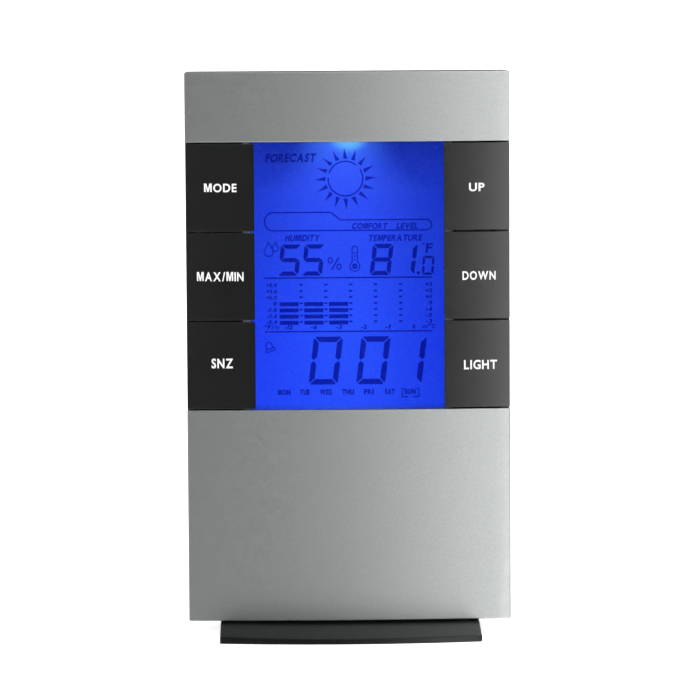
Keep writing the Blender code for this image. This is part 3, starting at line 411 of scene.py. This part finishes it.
def printed(name, patches, surface, thickness, finish, body):
    """Lays flat patches on a surface as one thin solid that rides on a body.
    surface(u, v) is a point in metres."""
    bm = bmesh.new()
    for points, faces in patches:
        back = [bm.verts.new(surface(u, v)) for u, v in points]
        front = [bm.verts.new(p.co - Vector((0, thickness, 0))) for p in back]
        sides = {(face[i], face[(i + 1) % len(face)]) for face in faces for i in range(len(face))}
        for face in faces:
            bm.faces.new([front[i] for i in face])
            bm.faces.new([back[i] for i in reversed(face)])
        for a, b in sides:
            if (b, a) not in sides:
                bm.faces.new((front[b], front[a], back[a], back[b]))
    bmesh.ops.remove_doubles(bm, verts=bm.verts, dist=thickness / 50)
    mesh = bpy.data.meshes.new(name)
    bm.to_mesh(mesh)
    bm.free()
    mesh.materials.append(finish)
    piece = bpy.data.objects.new(name, mesh)
    bpy.context.scene.collection.objects.link(piece)
    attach(piece, body)


def on_face(u, v):
    """A point on the curved front face, u across and v up, in millimetres."""
    x = u * MM
    return Vector((x, CROWN_Y + FRONT_RADIUS - math.sqrt(FRONT_RADIUS**2 - x * x), v * MM))


key_ink = white_ink()
for key, (text, *box) in KEY_WORDS.items():
    mould(f"key_{key}", key_black, 0.12 * MM)
    letters = word(text, *box, weight=KEY_WEIGHT)
    printed(f"key_word_{key}", letters, on_face, INK, key_ink, f"button_{key}")

# ---------------------------------------------------------------- display window
# Clear moulded acrylic between the two columns of keys, polished on both faces and held by its flange
# behind the front shell.
def clear_acrylic():
    finish, tree, shader = blank_finish("clear_acrylic")
    haze = grain(tree, 3 * MM, detail=5)
    tint = blend_of(tree, between(tree, haze, 0, 1), (0.970, 0.985, 0.990), (0.990, 0.995, 1.000))
    join_up(tree, shader, Base_Color=tint, Transmission_Weight=1.0, IOR=1.49, Roughness=0.0)
    return finish


mould("display_lens", clear_acrylic())

# ---------------------------------------------------------------- display
# A sandwich in a white frame: polariser film, two sheets of glass with the liquid crystal between them,
# polariser film, an acrylic light guide and a reflector. One blue diode shines down into the guide from
# the middle of its top edge, so the picture is brightest there and dimmer at its sides.
DISPLAY_X, DISPLAY_Z = 0.0, 86.1
PICTURE_DEPTH, PICTURE_THICKNESS = 4.55 * MM, 0.03 * MM
# Height in millimetres above the table, and the light there at the middle and at the two sides.
GLOW = (
    (53.9, (0.020, 0.080, 0.60), (0.0090, 0.036, 0.36)),
    (55.4, (0.0176, 0.0704, 0.98), (0.0110, 0.050, 0.90)),
    (75.0, (0.0194, 0.0765, 0.98), (0.0105, 0.043, 0.86)),
    (92.0, (0.0212, 0.0685, 0.91), (0.0112, 0.046, 0.72)),
    (104.0, (0.0262, 0.0765, 0.91), (0.0097, 0.038, 0.63)),
    (112.0, (0.0343, 0.0999, 0.99), (0.0085, 0.030, 0.50)),
    (118.0, (0.0450, 0.1700, 1.00), (0.0050, 0.022, 0.37)),
)
LAMP_GLOW = (0.14, 0.52, 1.0)
LAMP_PLACE = (0.2 * MM, 0, 118.7 * MM)
LIT_STRENGTH = 1.08


def guided_light(tree, dimming):
    """The colour of the light that leaves the guide at each point, times dimming."""
    x, _, z = add(tree, "SeparateXYZ", {0: place_on(tree)}).outputs
    height = between(tree, z, 0, 1, GLOW[0][0] * MM, GLOW[-1][0] * MM)
    ramps = []
    for side in (1, 2):
        shades = [(row[0], row[side]) for row in GLOW]
        ramp = tree.nodes.new("ShaderNodeValToRGB")
        tree.links.new(height, ramp.inputs[0])
        low, span = GLOW[0][0], GLOW[-1][0] - GLOW[0][0]
        for place, (at, colour) in enumerate(shades):
            share = (at - low) / span
            stops = ramp.color_ramp.elements
            stop = stops[place] if place < 2 else stops.new(share)
            stop.position = share
            stop.color = (*colour, 1.0)
        ramps.append(ramp.outputs[0])
    out = reckon(tree, "ABSOLUTE", reckon(tree, "SUBTRACT", x, -1.0 * MM))
    crowd = between(tree, z, 1.0, 1.9, 106 * MM, 118 * MM)
    out = reckon(tree, "MULTIPLY", out, crowd)
    spread = add(
        tree, "MapRange",
        {"Value": out, "From Min": 2 * MM, "From Max": 24 * MM, "To Min": 0, "To Max": 1},
        interpolation_type="SMOOTHSTEP",
    ).outputs[0]
    lit = blend_of(tree, spread, *ramps)
    right = between(tree, x, 0, 0.14, 4 * MM, 23 * MM)
    lit = blend_of(tree, right, lit, (0.0, 0.0, 0.06))
    squeezed = add(tree, "CombineXYZ", {0: reckon(tree, "MULTIPLY", x, 0.75), 2: z}).outputs[0]
    away = add(tree, "VectorMath", {0: squeezed, 1: LAMP_PLACE}, operation="DISTANCE").outputs["Value"]
    flare = add(
        tree, "MapRange",
        {"Value": away, "From Min": 0.6 * MM, "From Max": 4.4 * MM, "To Min": 1, "To Max": 0},
        interpolation_type="SMOOTHERSTEP",
    ).outputs[0]
    lit = blend_of(tree, flare, lit, LAMP_GLOW)
    mottle = grain(tree, 1.6 * MM, detail=3)
    lit = blend_of(tree, between(tree, mottle, 0, 0.06), lit, (0.03, 0.10, 0.70))
    return blend_of(tree, 1.0, lit, dimming, "MULTIPLY")


def lit_film(name, dimming, roughness):
    """Film or crystal with the guide's light coming through it."""
    finish, tree, shader = blank_finish(name)
    join_up(
        tree, shader, Base_Color=(0.002, 0.002, 0.004, 1.0), Specular_IOR_Level=0.1,
        Roughness=between(tree, grain(tree, 0.5 * MM), roughness, roughness + 0.1),
        Emission_Color=guided_light(tree, dimming), Emission_Strength=LIT_STRENGTH,
    )
    return finish


mould("lcd_front_polariser", lit_film("lit_polariser", (1, 1, 1), 0.25))


def on_picture(u, v):
    """A point on the display's front film, u right and v up from its middle, in millimetres."""
    return Vector(((DISPLAY_X + u) * MM, CROWN_Y + PICTURE_DEPTH - 0.01 * MM, (DISPLAY_Z + v) * MM))


def line(points, width, closed=False):
    """A drawn line of even width, as one patch of four-sided faces."""
    count = len(points)
    edges = []
    for place, point in enumerate(points):
        before = points[(place - 1) % count] if closed or place else point
        after = points[(place + 1) % count] if closed or place < count - 1 else point
        ways = []
        for a, b in ((before, point), (point, after)):
            length = math.hypot(b[0] - a[0], b[1] - a[1])
            if length > 1e-9:
                ways.append(((b[0] - a[0]) / length, (b[1] - a[1]) / length))
        way = (sum(w[0] for w in ways), sum(w[1] for w in ways))
        size = math.hypot(*way) or 1.0
        way = (way[0] / size, way[1] / size)
        mitre = max(0.5, way[0] * ways[0][0] + way[1] * ways[0][1])
        edges.append([
            (point[0] - side * way[1] * width / 2 / mitre, point[1] + side * way[0] * width / 2 / mitre)
            for side in (1, -1)
        ])
    corners = [corner for edge in edges for corner in edge]
    faces = []
    for place in range(count if closed else count - 1):
        a, b = 2 * place, 2 * ((place + 1) % count)
        faces.append((a + 1, b + 1, b, a))
    return [(corners, faces)]


def patch(*points):
    """One filled shape, from its corners anticlockwise or clockwise."""
    area = sum(
        a[0] * b[1] - b[0] * a[1] for a, b in zip(points, (*points[1:], points[0]))
    )
    order = tuple(range(len(points)))
    return [(list(points), [order if area > 0 else order[::-1]])]


def arc(centre, radius, start, end, steps):
    """Points on an arc, its angles in degrees."""
    return [
        (
            centre[0] + radius * math.cos(math.radians(start + (end - start) * i / steps)),
            centre[1] + radius * math.sin(math.radians(start + (end - start) * i / steps)),
        )
        for i in range(steps + 1)
    ]


LIT_SEGMENTS = {"0": "abcdef", "1": "bc", "5": "acdfg", "8": "abcdefg"}


def figure(sign, left, foot, width, height, bar, gap, lean=0.123):
    """The lit segments of a seven-segment figure, with mitred corners and pointed middles."""
    mid, half, nick = height / 2, bar / 2, bar * 0.35
    tall, wide = height, width
    left_top = [
        (0, mid + half), (bar * 0.4, mid + gap * 0.6), (bar, mid + half + gap), (bar, tall - bar - gap),
        (nick / 2, tall - gap - nick / 2), (0, tall - gap - nick),
    ]
    top = [
        (gap + nick / 2, tall - nick / 2), (bar + gap, tall - bar), (wide - bar - gap, tall - bar),
        (wide - gap - nick / 2, tall - nick / 2), (wide - gap - nick, tall), (gap + nick, tall),
    ]
    middle = [
        (gap * 1.5, mid), (bar + gap * 0.6, mid - half), (wide - bar - gap * 0.6, mid - half),
        (wide - gap * 1.5, mid), (wide - bar - gap * 0.6, mid + half), (bar + gap * 0.6, mid + half),
    ]
    shapes = {
        "a": top,
        "b": [(wide - u, v) for u, v in left_top],
        "c": [(wide - u, tall - v) for u, v in left_top],
        "d": [(u, tall - v) for u, v in top],
        "e": [(u, tall - v) for u, v in left_top],
        "f": left_top,
        "g": middle,
    }
    patches = []
    for segment in LIT_SEGMENTS[sign]:
        patches += patch(*[(left + u + lean * v, foot + v) for u, v in shapes[segment]])
    return patches


def sun():
    """A ring with two small breaks, and sixteen bent flames round it."""
    centre, patches = (-0.48, 23.0), []
    patches += line(arc(centre, 4.1, 51, 161, 24), 0.34)
    patches += line(arc(centre, 4.1, 176, 393, 48), 0.34)
    for flame in range(16):
        turn = 90 + flame * 22.5
        base = [arc(centre, 4.75, turn + side, turn + side, 1)[0] for side in (-6.2, 6.4)]
        bend = [arc(centre, 5.75, turn + side, turn + side, 1)[0] for side in (-1.6, 4.4)]
        tip = arc(centre, 7.35, turn + 2.2, turn + 2.2, 1)[0]
        patches += patch(base[0], bend[0], tip, bend[1], base[1])
    return patches


def comfort_outline():
    """The rounded box for the comfort reading, taller at its left end."""
    points = arc((-17.55, 12.85), 2.15, 180, 270, 10)
    points += arc((18.65, 11.95), 1.25, 270, 450, 16)
    points += arc((-1.3, 14.4), 1.2, 270, 228, 4)
    points += arc((-4.55, 13.4), 1.65, 48, 90, 5)
    points += arc((-17.55, 12.85), 2.2, 90, 180, 10)[:-1]
    return line(points, 0.32, closed=True)


def drop(centre, radius, tip, width):
    """The outline of one drop of water."""
    lean = math.degrees(math.atan2(tip[1] - centre[1], tip[0] - centre[0]))
    return line([tip, *arc(centre, radius, lean + 50, lean + 310, 18)], width, closed=True)


def thermometer():
    tube, bulb = 1.63, (1.63, 2.15)
    outline = arc((tube, 6.35), 0.62, 0, 180, 10) + arc(bulb, 1.18, 122, 418, 26)
    patches = line(outline, 0.25, closed=True)
    patches += line(arc(bulb, 0.42, 0, 340, 16)[:-1], 0.5, closed=True)
    for height in (3.75, 4.55, 5.35):
        patches += patch(*arc((tube, height), 0.23, 0, 324, 9))
    return patches


def bell():
    """The alarm bell, hung at a slant."""
    body = [(-0.88, 0.32), (-0.72, 0.62), (-0.68, 1.1)] + arc((0, 1.25), 0.68, 175, 5, 10)
    body += [(0.68, 1.1), (0.72, 0.62), (0.88, 0.32)]
    rim = arc((-0.86, 0), 0.32, 90, 270, 8) + arc((0.86, 0), 0.32, 270, 450, 8)
    turn, centre = math.radians(19), (-18.5, -17.7)
    patches = []
    for drawn, closed in ((body, False), (rim, True)):
        turned = [
            (
                centre[0] + u * math.cos(turn) - v * math.sin(turn),
                centre[1] + u * math.sin(turn) + v * math.cos(turn),
            )
            for u, v in drawn
        ]
        patches += line(turned, 0.26, closed)
    return patches


def row_of_words(texts, lefts, rights, foot, head, **style):
    return [
        shape
        for text, left, right in zip(texts, lefts, rights)
        for shape in word(text, left, right, foot, head, **style)
    ]


ITALIC = 0.24
segment_ink = lit_film("segment_crystal", (0.05, 0.14, 0.40), 0.3)
sign_ink = lit_film("sign_crystal", (0.11, 0.17, 0.50), 0.3)

LABEL = {"lean": ITALIC, "weight": 0.045, "spacing": 0.08}
forecast = word("FORECAST", -19.52, -7.28, 27.07, 28.94, **LABEL) + sun() + comfort_outline()
forecast += word("COMFORT", 1.0, 9.5, 11.1, 12.37, **LABEL) + word("LEVEL", 11.5, 16.6, 11.1, 12.37, **LABEL)

readings = []
for sign, left in (("5", -16.72), ("5", -11.12), ("8", 5.1), ("1", 10.8)):
    readings += figure(sign, left, 0.0, 4.9, 7.42, 1.0, 0.15)
readings += figure("0", 17.5, 0.0, 2.75, 4.5, 0.56, 0.12, 0.08) + patch(*arc((16.7, 0.5), 0.38, 0, 330, 11))

signs = word("HUMIDITY", -14.93, -6.48, 8.28, 9.65, **LABEL)
signs += word("TEMPERATURE", 4.98, 17.73, 8.2, 9.55, **LABEL)
signs += word("F", 18.35, 20.25, 5.35, 7.5, lean=0.12, weight=0.03)
signs += line([(-3.86, 1.36), (-2.15, 4.3)], 0.36)
for middle in ((-4.2, 3.6), (-2.1, 2.08)):
    ring = arc((0, 0), 1.0, 0, 340, 17)
    signs += line([(middle[0] + 0.48 * u, middle[1] + 0.62 * v) for u, v in ring], 0.3, closed=True)
signs += line(arc((17.98, 7.42), 0.2, 0, 330, 11), 0.16, closed=True)
signs += drop((-18.75, 5.72), 1.08, (-18.8, 7.95), 0.26) + drop((-17.2, 6.5), 0.72, (-17.15, 8.0), 0.24)
signs += thermometer() + bell()

GRAPH_ROWS = (-2.2, -3.72, -5.18, -6.64, -8.12, -9.58, -11.05)
history = line([(-19.85, -0.54), (19.92, -0.54)], 0.32) + line([(-19.85, -13.37), (19.92, -13.37)], 0.32)
for row, (left_sign, right_sign) in zip(
    GRAPH_ROWS,
    (
        ("+5.4", "+3"), ("+3.6", "+2"), ("+1.8", "+1"), ("0", "0"),
        ("-1.8", "-1"), ("-3.6", "-2"), ("-5.4", "-3"),
    ),
):
    style = {"weight": 0.055, "lean": 0.1, "spacing": 0.09}
    history += word(left_sign, -17.85 if left_sign == "0" else -19.4, -16.9, row - 0.42, row + 0.42, **style)
    history += word(right_sign, 19.2 if left_sign == "0" else 18.35, 19.95, row - 0.42, row + 0.42, **style)
    for column in (-11.17, -5.28, 0.6, 6.54, 12.48):
        history += patch(
            (column - 0.42, row - 0.17), (column + 0.36, row - 0.17),
            (column + 0.42, row + 0.23), (column - 0.36, row + 0.23),
        )
for foot in (-7.27, -8.75, -10.23, -11.71):
    for column in (-16.3, -10.42, -4.54):
        right, head = column + 4.54, foot + 0.95
        history += patch((column, foot), (right, foot), (right, head), (column, head))
history += row_of_words(
    ("-12", "-6", "-3", "-2", "-1", "0"),
    (-15.1, -8.85, -2.9, 3.05, 8.75, 15.25), (-13.2, -7.45, -1.5, 4.4, 10.1, 15.9),
    -12.75, -11.86, weight=0.055, lean=0.1, spacing=0.09,
)
history += word("°F/in", -19.78, -16.46, -12.75, -11.8, weight=0.045, lean=0.15)
history += word("m/°C", 17.52, 20.75, -12.75, -11.8, weight=0.045, lean=0.15)

day_count = []
for sign, left in (("0", -9.55), ("0", 1.74), ("1", 10.4)):
    day_count += figure(sign, left, -26.05, 6.92, 11.45, 1.3, 0.18)

weekdays = row_of_words(
    ("MON", "TUE", "WED", "THU", "FRI", "SAT", "SUN"),
    (-16.81, -11.58, -6.82, -1.59, 3.64, 8.64, 13.3), (-13.83, -9.3, -3.97, 1.26, 5.98, 10.95, 15.95),
    -28.42, -27.3, weight=0.06, spacing=0.06,
)
bracket_left, bracket_right, bracket_foot, bracket_head = 12.75, 16.7, -29.1, -27.2
for side, inward in ((bracket_left, 1), (bracket_right, -1)):
    weekdays += line(
        [
            (side + 0.55 * inward, bracket_head), (side, bracket_head),
            (side, bracket_foot), (side + 1.45 * inward, bracket_foot),
        ],
        0.26,
    )

for name, patches, ink in (
    ("display_forecast", forecast, sign_ink), ("display_readings", readings, segment_ink),
    ("display_signs", signs, sign_ink), ("display_history", history, segment_ink),
    ("display_day_count", day_count, segment_ink), ("display_weekdays", weekdays, segment_ink),
):
    printed(name, patches, on_picture, PICTURE_THICKNESS, ink, "case")


def sheet_glass():
    finish, tree, shader = blank_finish("sheet_glass")
    haze = grain(tree, 4 * MM, detail=4)
    colour = blend_of(tree, between(tree, haze, 0, 1), (0.80, 0.88, 0.85), (0.86, 0.93, 0.90))
    join_up(
        tree, shader, Base_Color=colour, Transmission_Weight=0.85, IOR=1.52,
        Roughness=between(tree, haze, 0.02, 0.06),
    )
    return finish


def guide_acrylic():
    """Acrylic with printed dots on its back that throw the light forward."""
    finish, tree, shader = blank_finish("guide_acrylic")
    dots = add(tree, "TexVoronoi", {"Vector": place_on(tree), "Scale": 1 / (0.8 * MM), "Randomness": 0.0})
    dot = between(tree, dots.outputs["Distance"], 1, 0, 0.25, 0.32)
    colour = blend_of(tree, dot, (0.80, 0.87, 0.95), (0.95, 0.97, 1.0))
    join_up(
        tree, shader, Base_Color=colour, Transmission_Weight=0.6, IOR=1.49,
        Roughness=between(tree, dot, 0.1, 0.5),
        Emission_Color=guided_light(tree, (0.4, 0.4, 0.4)), Emission_Strength=0.8,
    )
    return finish


def back_film():
    """Grey-brown polariser film with fine scratches from handling."""
    finish, tree, shader = blank_finish("back_film")
    scratch = grain(tree, 0.25 * MM, detail=2, stretch=(0.05, 1, 1))
    colour = blend_of(tree, between(tree, scratch, 0, 1), (0.055, 0.055, 0.060), (0.085, 0.085, 0.080))
    join_up(
        tree, shader, Base_Color=colour, Roughness=between(tree, scratch, 0.18, 0.3),
        Normal=relief(tree, scratch, 0.002 * MM, 0.4),
    )
    return finish


def contact_rubber():
    """Silicone strip of conducting and insulating layers, a tenth of a millimetre each."""
    finish, tree, shader = blank_finish("contact_rubber")
    x = add(tree, "SeparateXYZ", {0: place_on(tree)}).outputs[0]
    wave = reckon(tree, "SINE", reckon(tree, "MULTIPLY", x, math.tau / (0.2 * MM)))
    layer = between(tree, wave, 0, 1, -0.2, 0.2)
    colour = blend_of(tree, layer, (0.012, 0.012, 0.012), (0.62, 0.60, 0.57))
    join_up(
        tree, shader, Base_Color=colour, Roughness=between(tree, grain(tree, 0.3 * MM), 0.55, 0.7),
        Normal=relief(tree, layer, 0.01 * MM, 0.3),
    )
    return finish


white_abs = matt_plastic("white_abs", ((0.66, 0.66, 0.64), (0.76, 0.76, 0.74)), 0.3 * MM, 0.012 * MM, 0.5)
glass = sheet_glass()
mould("lcd_holder", white_abs, 0.12 * MM)
mould("lcd_front_glass", glass)
mould("lcd_rear_glass", glass)
mould("lcd_rear_polariser", back_film())
mould("light_guide", guide_acrylic())
mould("reflector_sheet", white_abs)
mould("zebra_strip", contact_rubber())


def blue_lamp():
    finish, tree, shader = blank_finish("blue_lamp")
    _, _, z = add(tree, "SeparateXYZ", {0: place_on(tree)}).outputs
    heart = grain(tree, 0.8 * MM)
    colour = blend_of(tree, between(tree, heart, 0, 1), (0.06, 0.16, 0.75), (0.10, 0.26, 0.90))
    low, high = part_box("backlight_led")
    burn = between(tree, z, 1, 0, low.z, high.z)
    join_up(
        tree, shader, Base_Color=colour, Transmission_Weight=0.35, IOR=1.5, Roughness=0.12,
        Emission_Color=blend_of(tree, burn, (0.01, 0.03, 0.4), (0.2, 0.6, 1.0)), Emission_Strength=1.5,
    )
    return finish


mould("backlight_led", blue_lamp())

# ---------------------------------------------------------------- circuit board
# Glass-fibre board, green solder mask over copper tracks, four screws. The chip is bonded bare under a blob
# of black epoxy; the crystal, capacitor, buzzer and the two sensors stand on the board's back.


def board_mask():
    """Solder mask: raised tracks show lighter through it, over a faint glass weave."""
    finish, tree, shader = blank_finish("board_mask")
    x, _, z = add(tree, "SeparateXYZ", {0: place_on(tree)}).outputs
    point = add(tree, "CombineXYZ", {0: x, 1: z}).outputs[0]
    tracks = add(
        tree, "TexBrick",
        {
            "Vector": point, "Scale": 1 / (9 * MM), "Mortar Size": 0.035, "Mortar Smooth": 0.1,
            "Brick Width": 1.1, "Row Height": 0.19,
        },
        offset=0.37, squash=0.6, squash_frequency=3,
    ).outputs["Fac"]
    weave = add(tree, "TexWave", {"Vector": point, "Scale": 1 / (3 * MM), "Distortion": 0.4}).outputs["Fac"]
    colour = blend_of(tree, between(tree, weave, 0, 0.3), (0.006, 0.085, 0.030), (0.012, 0.11, 0.045))
    colour = blend_of(tree, tracks, colour, (0.03, 0.22, 0.085))
    join_up(
        tree, shader, Base_Color=colour, Roughness=between(tree, weave, 0.22, 0.34),
        Normal=relief(tree, tracks, 0.03 * MM, 0.8, relief(tree, weave, 0.01 * MM, 0.3)),
    )
    return finish


def worn_metal(name, colour, tarnish, roughness, stretch=(1, 1, 1), across=0.4 * MM):
    """Bright metal with a drawn or rolled grain and a little tarnish."""
    finish, tree, shader = blank_finish(name)
    drawn = grain(tree, across, detail=3, stretch=stretch)
    stain = grain(tree, 3 * MM, detail=4)
    shade = blend_of(tree, between(tree, stain, 0, 0.6), colour, tarnish)
    join_up(
        tree, shader, Base_Color=shade, Metallic=1.0,
        Roughness=between(tree, drawn, roughness - 0.06, roughness + 0.1),
        Normal=relief(tree, drawn, 0.006 * MM, 0.5),
    )
    return finish


tin = worn_metal("tin", (0.66, 0.66, 0.64), (0.40, 0.40, 0.39), 0.3)
nickel = worn_metal("nickel", (0.60, 0.58, 0.54), (0.40, 0.38, 0.34), 0.24, (1, 0.15, 1), 0.25 * MM)
epoxy = matt_plastic("epoxy", ((0.008, 0.008, 0.009), (0.016, 0.016, 0.017)), 0.5 * MM, 0.01 * MM, 0.25)
PART_BLACK = ((0.012, 0.012, 0.013), (0.022, 0.022, 0.024))
part_black = matt_plastic("part_black", PART_BLACK, 0.15 * MM, 0.008 * MM, 0.42)

mould("circuit_board", board_mask())
mould("controller_blob", epoxy)
mould("crystal_can", tin, 0.15 * MM, 3)
mould("capacitor", part_black, 0.15 * MM)
mould("buzzer", part_black, 0.25 * MM, 3)
mould("humidity_sensor", white_abs, 0.15 * MM)
mould("temperature_sensor", epoxy, 0.1 * MM)

# ---------------------------------------------------------------- switches
# Six tact switches soldered to the front of the board, one behind each key: a black body under a pressed
# steel cover, and a white plunger that moves with the key.
SWITCH_BLACK = ((0.014, 0.014, 0.015), (0.026, 0.026, 0.028))
switch_body = matt_plastic("switch_body", SWITCH_BLACK, 0.12 * MM, 0.006 * MM, 0.4)
for key in KEY_WORDS:
    mould(f"switch_body_{key}", switch_body, 0.12 * MM)
    mould(f"switch_plunger_{key}", white_abs, 0.1 * MM)

# ---------------------------------------------------------------- cells, contacts and door
# Two AAA cells lie one above the other in the bay. Plated steel contacts and springs stand at their
# ends, and a black door on two pins closes over them.


CELL_HALF = 22.25 * MM


def cell_sleeve(name, plus_side):
    """Printed plastic sleeve: a dark body with a pale band at its positive end, steel at both tips."""
    finish, tree, shader = blank_finish(name)
    x = add(tree, "SeparateXYZ", {0: place_on(tree)}).outputs[0]
    along = reckon(tree, "MULTIPLY", x, plus_side / CELL_HALF)
    scuffs = grain(tree, 0.4 * MM, detail=4, stretch=(0.3, 1, 1))
    dark = blend_of(tree, between(tree, scuffs, 0, 1), (0.020, 0.045, 0.030), (0.032, 0.062, 0.043))
    band = between(tree, along, 0, 1, 0.50, 0.505)
    from_ring = reckon(tree, "ABSOLUTE", reckon(tree, "SUBTRACT", along, 0.44))
    thin = between(tree, from_ring, 1, 0, 0.012, 0.014)
    colour = blend_of(tree, band, dark, (0.62, 0.63, 0.62))
    colour = blend_of(tree, thin, colour, (0.62, 0.63, 0.62))
    bare = between(tree, reckon(tree, "ABSOLUTE", along), 0, 1, 0.938, 0.942)
    colour = blend_of(tree, bare, colour, (0.60, 0.60, 0.58))
    join_up(
        tree, shader, Base_Color=colour, Metallic=bare, Roughness=between(tree, scuffs, 0.26, 0.38),
        Normal=relief(tree, scuffs, 0.004 * MM, 0.4),
    )
    return finish


mould("battery_upper", cell_sleeve("cell_sleeve_upper", -1), 0.15 * MM, 3)
mould("battery_lower", cell_sleeve("cell_sleeve_lower", 1), 0.15 * MM, 3)
for contact in ("positive_contact", "negative_contact", "link_contact", "negative_spring", "link_spring"):
    mould(contact, nickel)


def wire_jacket(name, shades):
    return matt_plastic(name, shades, 0.2 * MM, 0.006 * MM, 0.35)


RED_SHADES = ((0.42, 0.012, 0.010), (0.52, 0.022, 0.018))
BLACK_SHADES = ((0.010, 0.010, 0.011), (0.018, 0.018, 0.020))
mould("wire_red", wire_jacket("red_jacket", RED_SHADES))
mould("wire_black", wire_jacket("black_jacket", BLACK_SHADES))
mould("battery_door", cover_black, 0.2 * MM)

# ---------------------------------------------------------------- screws
# Self-tapping steel screws with crossed recesses, zinc plated: four through the rear cover, four through
# the board, two up through the foot.
zinc = worn_metal("zinc", (0.52, 0.53, 0.54), (0.36, 0.35, 0.32), 0.3)
for screw in [name for name in sorted(frame["nodes"]) if "_screw_" in name]:
    mould(screw, zinc, 0.08 * MM)

# ---------------------------------------------------------------- table and light
# A wide matt white sweep, lit from all round: dim on the front left, bright on the front right, so that
# the silver brightens from left to right. Mirror rays don't see the sweep: a soft glow from below and a
# dark card in front stand in for what the station would reflect.
FLOOR_RADIUS = 40.0


def pale_floor():
    finish, tree, shader = blank_finish("pale_floor")
    fibre = grain(tree, 2 * MM, detail=4)
    colour = blend_of(tree, between(tree, fibre, 0, 1), (0.86, 0.86, 0.86), (0.90, 0.90, 0.90))
    join_up(
        tree, shader, Base_Color=colour, Roughness=0.85, Specular_IOR_Level=0.1,
        Emission_Color=(1.0, 1.0, 1.0, 1.0), Emission_Strength=0.84,
    )
    return finish


bm = bmesh.new()
bmesh.ops.create_circle(bm, cap_ends=True, segments=96, radius=FLOOR_RADIUS)
floor_mesh = bpy.data.meshes.new("floor")
bm.to_mesh(floor_mesh)
bm.free()
floor_mesh.materials.append(pale_floor())
floor = bpy.data.objects.new("floor", floor_mesh)
bpy.context.scene.collection.objects.link(floor)
floor.visible_glossy = floor.visible_transmission = False

world = bpy.data.worlds.new("studio")
world.use_nodes = True
sky = world.node_tree
sky.nodes.clear()
aim = add(sky, "TexCoord").outputs["Generated"]
across, along, up = add(sky, "SeparateXYZ", {0: aim}).outputs


def ramped(value, start, end, low, high):
    """A number that turns smoothly from low to high as value goes from start to end."""
    values = {"Value": value, "From Min": start, "From Max": end, "To Min": low, "To Max": high}
    return add(sky, "MapRange", values, interpolation_type="SMOOTHSTEP").outputs[0]


right_box = ramped(across, 0.185, 0.245, 0.0, 4.9)
right_box = reckon(sky, "SUBTRACT", right_box, ramped(across, 0.29, 0.50, 0.0, 4.3))
left_box = ramped(across, -0.50, -0.16, 0.62, 0.11)
toward = add(sky, "VectorMath", {0: aim, 1: (0.0, -0.998, -0.07)}, operation="DOT_PRODUCT").outputs["Value"]
dark_card = ramped(toward, 0.980, 0.992, 1.0, 0.03)
table_glow = ramped(up, -0.60, -0.15, 0.85, 0.0)
room = reckon(sky, "ADD", reckon(sky, "ADD", right_box, left_box), table_glow)
room = reckon(sky, "MULTIPLY", room, dark_card)
near_level = reckon(
    sky, "MULTIPLY", ramped(up, 0.02, 0.08, 1.0, 0.0), ramped(up, -0.08, -0.02, 0.0, 1.0)
)
near_level = reckon(sky, "MULTIPLY", near_level, ramped(along, -0.05, 0.20, 0.0, 1.0))
shade = add(sky, "Mix", {0: near_level, 2: room, 3: 1.10}, data_type="FLOAT").outputs[0]
light = add(sky, "Background", {"Color": (1.0, 1.0, 1.0, 1.0), "Strength": shade}).outputs[0]
sky.links.new(light, sky.nodes.new("ShaderNodeOutputWorld").inputs["Surface"])
bpy.context.scene.world = world

lamp = bpy.data.lights.new("top_softbox", "AREA")
lamp.shape, lamp.size, lamp.size_y, lamp.energy = "RECTANGLE", 1.2, 1.0, 3.5
softbox = bpy.data.objects.new("top_softbox", lamp)
softbox.location = (0.25, -0.25, 1.3)
softbox.rotation_euler = (Vector((0, 0, 0.07)) - softbox.location).to_track_quat("-Z", "Y").to_euler()
bpy.context.scene.collection.objects.link(softbox)
